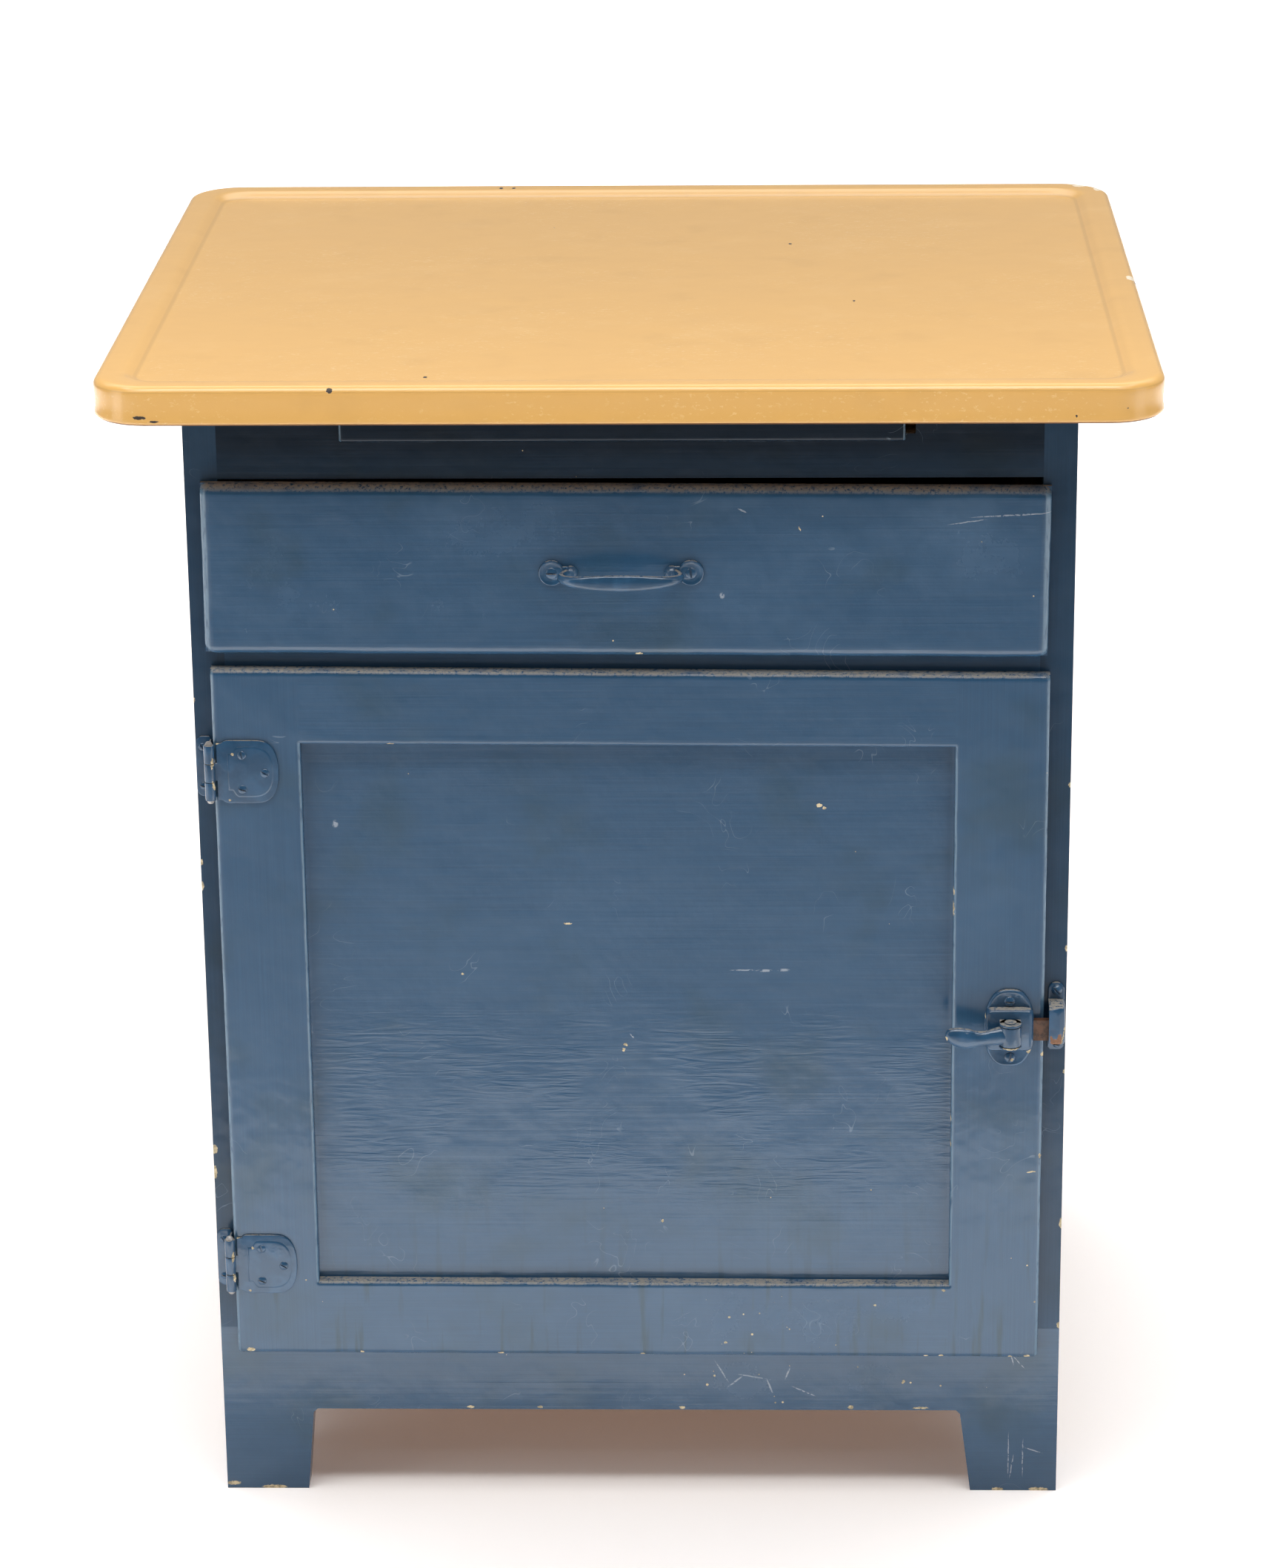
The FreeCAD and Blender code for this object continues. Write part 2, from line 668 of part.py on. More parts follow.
def latch_case():
    """Oval plate with a raised box, a channel for the bolt behind it and two ears for the lever's pin."""
    x, z = LATCH_X - 0.2, LATCH_Z
    half_w, straight, half_h = 17.7, 12.0, 29.1
    back, plate_front, box_front = DOOR_FACE, DOOR_FACE - 2.5, DOOR_FACE - 8.5
    corners = [Vector(x + sx * half_w, back, z + sz * straight) for sx, sz in ((1, -1), (1, 1), (-1, 1), (-1, -1))]
    upper = Part.Arc(corners[1], Vector(x, back, z + half_h), corners[2]).toShape()
    lower = Part.Arc(corners[3], Vector(x, back, z - half_h), corners[0]).toShape()
    sides = [Part.makeLine(corners[0], corners[1]), Part.makeLine(corners[2], corners[3])]
    outline = Part.Wire([sides[0], upper, sides[1], lower])
    plate = Part.Face(outline).extrude(Vector(0, plate_front - back, 0))
    cover = box((x - 17.0, x + 17.0), (box_front, back), (z - 15.3, z + 16.4))
    cover = round_edges(cover, 3.0, lambda p, e: abs(p.y - box_front) < 0.01)
    case = plate.fuse(cover)
    for ear_z in ((BOSS_Z[0] - 1.8, BOSS_Z[0] - LAP_GAP), (BOSS_Z[1] + LAP_GAP, BOSS_Z[1] + 1.8)):
        ear = rod_z(LATCH_X, LEVER_Y, ear_z, BOSS_R)
        arm = box((LATCH_X - BOSS_R, LATCH_X + BOSS_R), (LEVER_Y, box_front + 1), ear_z)
        case = case.fuse(ear).fuse(arm)
    channel = box((249.0, 290.0), (BOLT_Y[0] - LAP_GAP, back + 1), (BOLT_Z[0] - 0.4, BOLT_Z[1] + 0.4))
    window_z = (BOSS_Z[0] - LAP_GAP, BOSS_Z[1] + LAP_GAP)
    window = box((LATCH_X - 9.5, LATCH_X + 9.5), (box_front - 1, back), window_z)
    case = case.cut(channel).cut(window)
    case = case.cut(rod_z(LATCH_X, LEVER_Y, (340, 400), PIVOT_R))
    return case.cut(latch_screws())


def latch_screws():
    front = DOOR_FACE - 2.5
    upper = screw(264.2, front, 392.2, (3.7, 1.4), (1.6, 14.0), 0.0)
    lower = screw(264.9, front, 349.6, (3.7, 1.4), (1.6, 14.0), 105.0)
    return Part.makeCompound([upper, lower])


def latch_pivot_pin():
    """Riveted pin through both ears, with a low round head at each end."""
    z = (BOSS_Z[0] - 1.8, BOSS_Z[1] + 1.8)
    pin = rod_z(LATCH_X, LEVER_Y, z, PIVOT_R)
    return pin.fuse(rod_z(LATCH_X, LEVER_Y, (z[1], z[1] + 0.8), 4.2)).fuse(
        rod_z(LATCH_X, LEVER_Y, (z[0] - 0.8, z[0]), 4.2)
    )


def latch_lever():
    """Boss on the pivot pin, a waisted handle to the left and a finger that draws the bolt."""
    boss = rod_z(LATCH_X, LEVER_Y, BOSS_Z, BOSS_R)

    def section(x, y, z, half_y, half_z):
        ring = Part.Ellipse(Vector(0, 0, 0), max(half_y, half_z), min(half_y, half_z)).toShape()
        ring.rotate(Vector(0, 0, 0), Vector(0, 1, 0), 90)
        if half_y > half_z:
            ring.rotate(Vector(0, 0, 0), Vector(1, 0, 0), 90)
        ring.translate(Vector(x, y, z))
        return Part.Wire([ring])

    out = LEVER_Y
    sections = [
        section(262.0, out - 1.0, 372.0, 5.0, 6.4),
        section(254.0, out - 2.5, 371.8, 4.6, 6.3),
        section(245.0, out - 4.0, 370.8, 4.0, 5.6),
        section(234.0, out - 5.0, 371.4, 4.4, 7.6),
        section(226.0, out - 5.0, 372.6, 4.2, 6.6),
        section(219.6, out - 4.6, 373.4, 2.4, 3.4),
    ]
    handle = Part.makeLoft(sections, True, False)
    finger = box((LATCH_X - 1.5, LATCH_X + 1.5), (LEVER_Y, FACE - 14.0), (369.5, 374.5))
    lever = boss.fuse(handle).fuse(finger)
    return lever.cut(rod_z(LATCH_X, LEVER_Y, (340, 400), PIVOT_R + RUNNING_GAP))


def spring_seat():
    return (BOLT_X[0], BOLT_X[0] + 4.4)


def latch_bolt():
    """Flat bolt with a bevelled nose, a slot for the lever's finger and a seat for the spring."""
    bolt = box(BOLT_X, BOLT_Y, BOLT_Z)
    tip, heel = BOLT_X[1], BOLT_Y[1]
    bolt = bolt.cut(plate_top([(tip - 3, heel), (tip, heel), (tip, BOLT_Y[0] + 2)], BOLT_Z))
    bolt = bolt.cut(box((LATCH_X - 3.2, LATCH_X + 3.2), (BOLT_Y[0] - 1, BOLT_Y[1] + 1), (368.5, 375.5)))
    middle = (BOLT_Y[0] + BOLT_Y[1]) / 2
    return bolt.cut(rod_x((BOLT_X[0] - 1, spring_seat()[1]), middle, LATCH_Z, 2.0))


def latch_spring():
    """Small coil spring in the seat of the bolt, drawn at its compressed length."""
    wire_r, coil_r, pitch = 0.3, 1.55, 0.9
    middle = (BOLT_Y[0] + BOLT_Y[1]) / 2
    length = spring_seat()[1] - spring_seat()[0] - 2 * wire_r
    helix = Part.makeHelix(pitch, length, coil_r)
    start = Part.Wire([Part.makeCircle(wire_r, Vector(coil_r, 0, 0), Vector(0, 1, 0))])
    spring = Part.Wire(helix.Edges).makePipeShell([start], True, False)
    spring.rotate(Vector(0, 0, 0), Vector(0, 1, 0), 90)
    spring.translate(Vector(spring_seat()[0] + wire_r, middle, LATCH_Z))
    return spring


def latch_keeper():
    """Plate on the case edge with a raised hollow catch that takes the nose of the bolt."""
    x = (291.8, 303.4)
    plate_front, catch_front = FACE - 2.5, FACE - 20.5
    upper = box(x, (plate_front, FACE), (375.0, 402.0))
    upper = round_edges(upper, 5.0, lambda p, e: p.z > 401.9 and abs(e.Length - 2.5) < 0.01)
    lower = box(x, (plate_front, FACE), (351.0, 375.0))
    side = [(plate_front, 389.8), (catch_front, 388.6), (catch_front, 362.2), (FACE - 17.0, 359.0), (plate_front, 359.0)]
    keeper = upper.fuse(lower).fuse(plate_yz(side, x))
    pocket = box((x[0] - 1, 298.8), (FACE - 18.3, FACE - 11.0), (BOLT_Z[0] - 0.6, BOLT_Z[1] + 0.6))
    return keeper.cut(pocket).cut(keeper_screws())


def keeper_screws():
    upper = screw(298.4, FACE - 2.5, 396.6, (3.4, 1.6), (1.5, 14.0), 45.0)
    lower = screw(298.4, FACE - 2.5, 355.0, (2.6, 1.2), (1.5, 14.0), 10.0)
    return Part.makeCompound([upper, lower])


def drawer_front():
    """Board with a rounded face, hung slightly out of square, and a thicker part inside the opening."""
    z = (DRAWER_FRONT_Z - DRAWER_FRONT_H / 2, DRAWER_FRONT_Z + DRAWER_FRONT_H / 2)
    lap = box(DRAWER_X, (DOOR_FACE, FACE - LAP_GAP), z)
    lap = round_edges(lap, DRAWER_ROUND, lambda p, e: abs(p.y - DOOR_FACE) < 0.01)
    centre = Vector(sum(DRAWER_X) / 2, 0, DRAWER_FRONT_Z)
    lap.rotate(centre, Vector(0, 1, 0), DRAWER_TILT)
    core_x = DRAWER_SIDE_X - DRAWER_BOARD_T
    core = box((-core_x, core_x), (FACE - LAP_GAP, FACE + THICK_BEHIND), (DRAWER_Z[0], DRAWER_Z[1] - 4))
    return lap.fuse(core).cut(pull_screws())


def drawer_side(sign):
    x = sorted((sign * (DRAWER_SIDE_X - DRAWER_BOARD_T), sign * DRAWER_SIDE_X))
    side = box(x, (FACE - LAP_GAP, FACE + DRAWER_D), (DRAWER_Z[0], DRAWER_Z[1] - 4))
    return side.cut(drawer_bottom())


def drawer_left_side():
    return drawer_side(-1)


def drawer_right_side():
    return drawer_side(1)


def drawer_back():
    x = DRAWER_SIDE_X - DRAWER_BOARD_T
    return box((-x, x), (FACE + DRAWER_D - 12, FACE + DRAWER_D), (DRAWER_Z[0] + 14, DRAWER_Z[1] - 10))


def drawer_bottom():
    """Thin board let into grooves of the two sides."""
    x = DRAWER_SIDE_X - DRAWER_BOARD_T + 5
    return box((-x, x), (FACE + THICK_BEHIND, FACE + DRAWER_D), (DRAWER_Z[0] + 8, DRAWER_Z[0] + 14))


def drawer_pull():
    """Bar pull: two round feet with short tabs, and a bowed grip that is tallest in the middle."""
    middle_x = sum(PULL_X) / 2
    half_path = [(35.0, 0.5), (40.0, 7.0), (40.5, 14.0), (34.5, 20.5), (20.0, PULL_OUT - 0.6)]
    left = [Vector(middle_x - along, DOOR_FACE - out, PULL_Z) for along, out in half_path]
    right = [Vector(middle_x + along, DOOR_FACE - out, PULL_Z) for along, out in reversed(half_path)]
    path = Part.BSplineCurve()
    path.interpolate(left + [Vector(middle_x, DOOR_FACE - PULL_OUT, PULL_Z)] + right)

    def section(share):
        """Oval cross-section at a share of the path's length, square to the path."""
        parameter = path.parameterAtDistance(share * path.length(), path.FirstParameter)
        tangent = path.tangent(parameter)[0]
        swell = math.sin(math.pi * share) ** 1.5
        ring = Part.Ellipse(Vector(0, 0, 0), 2.9 + 2.8 * swell, 2.8 - 0.2 * swell).toShape()
        ring.rotate(Vector(0, 0, 0), Vector(0, 1, 0), 90)
        ring.rotate(Vector(0, 0, 0), Vector(0, 0, 1), math.degrees(math.atan2(tangent.y, tangent.x)))
        ring.translate(path.value(parameter))
        return Part.Wire([ring])

    stations = 15
    pull = Part.makeLoft([section(k / (stations - 1)) for k in range(stations)], True)
    foot_y = (DOOR_FACE - 2.0, DOOR_FACE)
    for foot_x, root_x in ((PULL_X[0], middle_x - 35.0), (PULL_X[1], middle_x + 35.0)):
        tab = box(sorted((foot_x, root_x)), foot_y, (PULL_Z - 4.5, PULL_Z + 4.5))
        pull = pull.fuse(rod_y(foot_x, foot_y, PULL_Z, 9.0)).fuse(tab).fuse(rod_y(root_x, foot_y, PULL_Z, 4.5))
    behind = box((-80, 80), (DOOR_FACE, DOOR_FACE + 30), (680, 730))
    return pull.cut(behind).cut(pull_screws())


def pull_screws():
    left = screw(PULL_X[0], DOOR_FACE - 2.0, PULL_Z, (4.1, 1.3), (1.8, 16.0), 0.0)
    right = screw(PULL_X[1], DOOR_FACE - 2.0, PULL_Z, (4.1, 1.3), (1.8, 16.0), 85.0)
    return Part.makeCompound([left, right])


def pull_out_board():
    return box(BOARD_X, (FACE - LAP_GAP, FACE + BOARD_D), BOARD_Z)


def board_front_strip():
    strip = box(STRIP_X, (FACE - STRIP_PROUD, FACE - LAP_GAP), STRIP_Z)
    return round_edges(strip, 2.5, lambda p, e: abs(p.z - STRIP_Z[0]) < 0.01 and abs(p.y - FACE + STRIP_PROUD) < 0.01)


SUB_PARTS = [
    left_side_panel,
    right_side_panel,
    base_apron,
    top_rail,
    middle_rail,
    back_panel,
    bottom_board,
    compartment_ceiling,
    opening_frame,
    drawer_runners,
    board_guides,
    top_cleats,
    top_screws,
    core_board,
    enamel_top,
    cork_side_slabs,
    cork_floor_slab,
    cork_back_slab,
    cork_ceiling_slab,
    zinc_liner,
    shelf_cleats,
    ice_tray,
    ice_rack,
    wire_shelf,
    drain_pipe,
    drain_strainer,
    drip_pan,
    upper_hinge_frame_leaf,
    lower_hinge_frame_leaf,
    hinge_pins,
    frame_leaf_screws,
    latch_keeper,
    keeper_screws,
    door_hinge_stile,
    door_latch_stile,
    door_top_rail,
    door_bottom_rail,
    door_panel,
    door_insulation,
    door_inner_liner,
    door_gasket,
    upper_hinge_door_leaf,
    lower_hinge_door_leaf,
    door_leaf_screws,
    latch_case,
    latch_screws,
    latch_pivot_pin,
    latch_lever,
    latch_bolt,
    latch_spring,
    drawer_front,
    drawer_left_side,
    drawer_right_side,
    drawer_back,
    drawer_bottom,
    drawer_pull,
    pull_screws,
    pull_out_board,
    board_front_strip,
]

os.makedirs("parts", exist_ok=True)
for make in SUB_PARTS:
    make().exportStep(f"parts/{make.__name__}.step")
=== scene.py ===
import bpy
import math
from mathutils import Matrix, Vector, noise


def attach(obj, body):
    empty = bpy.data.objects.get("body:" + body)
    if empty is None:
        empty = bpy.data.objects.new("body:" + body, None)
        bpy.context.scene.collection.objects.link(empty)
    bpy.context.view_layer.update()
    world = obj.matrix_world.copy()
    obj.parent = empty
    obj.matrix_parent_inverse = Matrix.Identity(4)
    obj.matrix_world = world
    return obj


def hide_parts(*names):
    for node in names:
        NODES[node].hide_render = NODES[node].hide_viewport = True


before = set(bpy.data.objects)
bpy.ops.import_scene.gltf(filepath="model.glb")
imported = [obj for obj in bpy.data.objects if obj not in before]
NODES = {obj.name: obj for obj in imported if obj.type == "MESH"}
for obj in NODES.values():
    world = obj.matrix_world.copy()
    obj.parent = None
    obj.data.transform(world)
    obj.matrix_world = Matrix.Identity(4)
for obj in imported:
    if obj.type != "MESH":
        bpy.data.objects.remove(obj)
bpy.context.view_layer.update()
MM = 0.001

# Places on the icebox, in millimetres in the row frame. Pairs of edge heights are at the left and right ends.
FACE = -264.0
DOOR_FACE = -276.0
LAP_BACK = -264.3
CORE_BACK = -257.0
DOOR_X = (-291.4, 288.7)
DOOR_TOP = (637.1, 631.9)
DOOR_UNDER = (115.8, 113.1)
DOOR_ROUND = 4.0
WINDOW_X = (-230.6, 224.0)
WINDOW_TOP = (583.6, 579.8)
WINDOW_UNDER = (172.8, 170.7)
WINDOW_ROUND = 3.5
PANEL_Y = (-266.0, -260.0)
CORE_X = 279.0
CORE_Z = (134.0, 619.0)
DRAWER_X = (-294.0, 287.0)
DRAWER_H = 121.0
DRAWER_MIDDLE = (-3.5, 707.0)
DRAWER_TILT = math.radians(0.40)
DRAWER_ROUND = 8.0
STRIP_X = (-197.7, 187.8)
STRIP_Z = (796.8, 820.0)
TOP_HALF = (361.0, 319.0)
TOP_Z = 849.4
TOP_CORNER = 38.0
HINGE_Z = {"upper_hinge": 563.5, "lower_hinge": 187.3}
PIN = (-293.9, -278.5)
KNUCKLE_R = 3.7
KNUCKLE_H = 40.9

# Linear colours
NAVY = (0.0238, 0.0705, 0.1370)
NAVY_LIGHT = (0.0580, 0.1200, 0.2050)
NAVY_GREEN = (0.0200, 0.0520, 0.0760)
CREAM = (0.62, 0.52, 0.33)
DUST = (0.29, 0.26, 0.21)
ENAMEL = (0.660, 0.382, 0.118)


def rgba(colour):
    return (*colour, 1.0) if isinstance(colour, tuple) else colour


def scaled(colour, factor):
    return tuple(factor * c for c in colour)


class Graph:
    """Node material. Its texture space is the row frame in millimetres."""

    def __init__(self, name):
        self.material = bpy.data.materials.new(name)
        self.material.use_nodes = True
        self.tree = self.material.node_tree
        self.tree.nodes.clear()
        output = self.tree.nodes.new("ShaderNodeOutputMaterial")
        self.shader = self.tree.nodes.new("ShaderNodeBsdfPrincipled")
        self.tree.links.new(self.shader.outputs[0], output.inputs[0])
        here = self.tree.nodes.new("ShaderNodeTexCoord").outputs["Object"]
        self.place = self.vector("SCALE", here, scale=1000.0)
        self.facing = self.tree.nodes.new("ShaderNodeNewGeometry").outputs["Normal"]

    def node(self, kind, inputs, **settings):
        node = self.tree.nodes.new(kind)
        for key, value in settings.items():
            setattr(node, key, value)
        for key, value in inputs.items():
            if isinstance(value, bpy.types.NodeSocket):
                self.tree.links.new(value, node.inputs[key])
            elif value is not None:
                node.inputs[key].default_value = value
        return node

    def set(self, **values):
        """Give the shader's inputs, by name with _ for a space."""
        for key, value in values.items():
            socket = self.shader.inputs[key.replace("_", " ")]
            if isinstance(value, bpy.types.NodeSocket):
                self.tree.links.new(value, socket)
            else:
                socket.default_value = rgba(value)

    def math(self, operation, a, b=None, c=None):
        return self.node("ShaderNodeMath", {0: a, 1: b, 2: c}, operation=operation).outputs[0]

    def times(self, a, b):
        return self.math("MULTIPLY", a, b)

    def vector(self, operation, a, b=None, scale=None):
        node = self.node("ShaderNodeVectorMath", {0: a, 1: b, 3: scale}, operation=operation)
        return node.outputs[1 if operation == "LENGTH" else 0]

    def step(self, value, low, high):
        """Smooth ramp from 0 at low to 1 at high, and falling when low is above high."""
        if low > high:
            return self.math("SUBTRACT", 1.0, self.step(value, high, low))
        inputs = {0: value, 1: low, 2: high}
        return self.node("ShaderNodeMapRange", inputs, interpolation_type="SMOOTHSTEP").outputs[0]

    def noise(self, size, detail=2.0, rough=0.5, warp=0.0):
        """Noise with features of about that size in millimetres, one number or three."""
        sizes = size if isinstance(size, tuple) else (size, size, size)
        at = self.vector("MULTIPLY", self.place, tuple(1.0 / s for s in sizes))
        inputs = {"Vector": at, "Scale": 1.0, "Detail": detail, "Roughness": rough, "Distortion": warp}
        return self.node("ShaderNodeTexNoise", inputs).outputs[0]

    def cells(self, size):
        """Distance to the nearest of scattered points that far apart, and a random value for each point."""
        at = self.vector("SCALE", self.place, scale=1.0 / size)
        node = self.node("ShaderNodeTexVoronoi", {"Vector": at, "Scale": 1.0})
        tint = self.node("ShaderNodeSeparateColor", {0: node.outputs["Color"]}).outputs[0]
        return node.outputs["Distance"], tint

    def mix(self, share, a, b):
        return self.node("ShaderNodeMix", {0: share, 6: rgba(a), 7: rgba(b)}, data_type="RGBA").outputs[2]

    def part(self, vector, index):
        return self.node("ShaderNodeSeparateXYZ", {0: vector}).outputs[index]

    def height(self, low, high):
        """Ramp between two heights above the floor."""
        return self.step(self.part(self.place, 2), low, high)

    def ragged(self, amount, size):
        """The place, shaken by noise, so that what is drawn with it has ragged edges."""
        at = self.vector("SCALE", self.place, scale=1.0 / size)
        shake = self.node("ShaderNodeTexNoise", {"Vector": at, "Scale": 1.0, "Detail": 3.0}).outputs["Color"]
        centred = self.vector("SUBTRACT", shake, (0.5, 0.5, 0.5))
        return self.vector("ADD", self.place, self.vector("SCALE", centred, scale=2.0 * amount))

    def spots(self, spots, place, soft=0.12):
        """Mask of ellipses: (centre, half sizes, turn in degrees about Y). None in a centre is anywhere."""
        mask = None
        for centre, half, turn in spots:
            half = tuple(1.0e5 if c is None else h for c, h in zip(centre, half))
            centre = tuple(0.0 if c is None else c for c in centre)
            inputs = {0: place, 1: centre, 2: (0.0, math.radians(turn), 0.0), 3: half}
            local = self.node("ShaderNodeMapping", inputs, vector_type="TEXTURE").outputs[0]
            one = self.step(self.vector("LENGTH", local), 1.0 + soft, 1.0 - soft)
            mask = one if mask is None else self.math("MAXIMUM", mask, one)
        return mask

    def bump(self, height, strength=1.0):
        """Relief from a height in millimetres."""
        node = self.node("ShaderNodeBump", {"Strength": strength, "Distance": MM, "Height": height})
        self.set(Normal=node.outputs[0])

    def total(self, *terms):
        """Sum of (factor, value) pairs."""
        result = None
        for factor, value in terms:
            term = self.math("MULTIPLY", value, factor)
            result = term if result is None else self.math("ADD", result, term)
        return result


GRAIN = {"x": (90.0, 3.0, 1.1), "z": (1.1, 3.0, 90.0)}
FIGURE = ((220.0, 16.0), (160.0, 70.0), (60.0, 1.2))


def add_dust(g, colour, rough, low=0.30, high=0.85, amount=0.8):
    """Grey-brown dust that has settled on ledges, where the surface faces up by more than low."""
    dusty = g.times(g.step(g.part(g.facing, 2), low, high), g.step(g.noise(2.4, 4.0, 0.75), 0.36, 0.54))
    dusty = g.times(dusty, g.step(g.noise(30.0, 2.0), 0.22, 0.5))
    colour = g.mix(g.times(dusty, amount), colour, DUST)
    return colour, g.math("ADD", rough, g.times(dusty, 0.5))


def add_chips(g, colour, rough, height, chips, specks, flaked=()):
    """Old cream paint, bare where the blue is gone: specks, listed chips, and regions of small flakes."""
    distance, tint = g.cells(12.0)
    bare = g.math("LESS_THAN", distance, g.times(g.step(tint, 0.86, 1.0), 0.050 * specks))
    if chips:
        bare = g.math("MAXIMUM", bare, g.spots(chips, g.ragged(1.1, 1.6)))
    if flaked:
        distance, tint = g.cells(5.5)
        size = g.times(g.step(tint, 0.62, 1.0), g.spots(flaked, g.ragged(12.0, 30.0), 0.6))
        bare = g.math("MAXIMUM", bare, g.math("LESS_THAN", distance, g.times(size, 0.22)))
    stain = g.mix(g.step(g.noise(3.0, 2.0), 0.4, 0.6), CREAM, scaled(CREAM, 0.5))
    colour = g.mix(bare, colour, stain)
    rough = g.math("MAXIMUM", rough, g.times(bare, 0.7))
    return colour, rough, g.math("SUBTRACT", height, g.times(bare, 0.12))


def blue_wood(
    name,
    grain,
    clouds,
    chips=(),
    scratches=(),
    rubbed=(),
    flaked=(),
    ripples=None,
    runs=0.0,
    painted_shade=None,
    gloss=0.5,
):
    """Hand-brushed oil paint: strokes along the grain, clouds, dust on ledges, a painted highlight on rounded
    edges, small damage.

    chips, scratches, rubbed and flaked list marks, ripples gives two heights, and runs a share. The argument
    for painted shade gives the height where the paint starts to darken, where it is darkest, and by which
    share.
    """
    g = Graph(name)
    strokes = g.noise(GRAIN[grain], 3.0, 0.6)
    broad = g.noise(tuple(4.0 * s for s in GRAIN[grain]), 2.0)
    lumps = g.noise(26.0, 2.0)
    grit = g.noise(2.2, 2.0)
    patches = g.noise(110.0, 4.0, 0.62)
    colour = g.mix(g.step(strokes, 0.3, 0.75), scaled(NAVY, 0.94), scaled(NAVY, 1.06))
    colour = g.mix(g.times(g.step(patches, 0.46, 0.74), clouds), colour, NAVY_LIGHT)
    colour = g.mix(g.times(g.step(g.noise(60.0, 3.0), 0.5, 0.78), 0.5), colour, NAVY_GREEN)
    height = g.total((0.035, strokes), (0.14, broad), (0.9, lumps), (0.035, grit))
    rough = g.total((0.14, g.noise(45.0, 3.0)), (0.08, grit), (1.0, 0.10))
    if ripples:
        low, high = ripples
        where = g.times(g.height(high, high - 60.0), g.height(low, low + 60.0))
        where = g.times(where, g.step(g.noise(70.0, 2.0), 0.40, 0.60))
        waves = g.noise((44.0, 30.0, 5.0), 3.0, 0.5, 1.5)
        height = g.math("ADD", height, g.times(g.times(waves, where), 0.65))
    if runs:
        drips = g.step(g.noise((7.0, 30.0, 80.0), 3.0), 0.55, 0.70)
        low_down = g.height(290.0, 130.0)
        colour = g.mix(g.times(g.times(drips, low_down), runs), colour, NAVY_GREEN)
    if rubbed:
        film = g.step(g.noise((30.0, 30.0, 45.0), 3.0, 0.55), 0.25, 0.85)
        rub = g.times(g.spots(rubbed, g.ragged(16.0, 60.0), 0.75), film)
        colour = g.mix(g.times(rub, 0.30), colour, scaled(NAVY_LIGHT, 1.1))
        rough = g.math("ADD", rough, g.times(rub, 0.15))
    # Painted shade: the paint grows darker between two heights, by a share.
    if painted_shade:
        low, high, depth = painted_shade
        dark = g.math("SUBTRACT", 1.0, g.times(g.height(low, high), depth))
        colour = g.vector("SCALE", colour, scale=dark)
    # Painted highlight: roundings that face to the side are paler blue, in broken streaks, for the sheen of
    # the side lamps on the rounded edges.
    side = g.math("ABSOLUTE", g.part(g.facing, 0))
    wear_and_edge_highlight = g.times(g.step(side, 0.30, 0.55), g.step(side, 0.98, 0.85))
    wear_and_edge_highlight = g.times(wear_and_edge_highlight, g.step(g.noise((2.0, 2.0, 9.0), 3.0), 0.22, 0.55))
    colour = g.mix(g.times(wear_and_edge_highlight, 0.6), colour, (0.115, 0.205, 0.285))
    colour, rough = add_dust(g, colour, rough)
    colour, rough, height = add_chips(g, colour, rough, height, chips, 1.0, flaked)
    if scratches:
        broken = g.step(g.noise(2.4, 2.0), 0.36, 0.52)
        drawn = g.times(g.spots(scratches, g.ragged(0.5, 5.0), 0.3), broken)
        colour = g.mix(g.times(drawn, 0.5), colour, (0.46, 0.50, 0.54))
    hair = g.math("ABSOLUTE", g.math("SUBTRACT", g.noise(30.0, 1.0, 0.5, 1.5), 0.5))
    hair = g.times(g.step(hair, 0.0045, 0.0015), g.step(g.noise(42.0, 1.0), 0.62, 0.68))
    colour = g.mix(g.times(hair, 0.30), colour, (0.22, 0.29, 0.36))
    g.set(Base_Color=colour, Roughness=rough, IOR=1.5, Specular_IOR_Level=gloss)
    g.bump(height)
    return g.material


def blue_metal():
    """The same paint, thick and glossy on cast iron, with dust, cream chips and bare rusty places."""
    g = Graph("paint_metal")
    colour = g.mix(g.step(g.noise(14.0, 3.0), 0.4, 0.7), scaled(NAVY, 0.85), scaled(NAVY, 1.15))
    rough = g.total((0.10, g.noise(9.0, 3.0)), (0.05, g.noise(1.5)), (1.0, 0.07))
    height = g.total((0.35, g.noise(7.0, 2.0)), (0.03, g.noise(1.6, 2.0)))
    colour, rough = add_dust(g, colour, rough, 0.80, 0.99, 0.9)
    colour, rough, height = add_chips(g, colour, rough, height, METAL_CHIPS, 0.8)
    rusty = g.spots(METAL_RUST, g.ragged(1.2, 2.5))
    colour = g.mix(rusty, colour, g.mix(g.noise(1.5, 3.0), (0.30, 0.15, 0.08), (0.09, 0.04, 0.02)))
    rough = g.math("MAXIMUM", rough, g.times(rusty, 0.75))
    g.set(Base_Color=colour, Roughness=rough, IOR=1.5)
    g.bump(height)
    return g.material


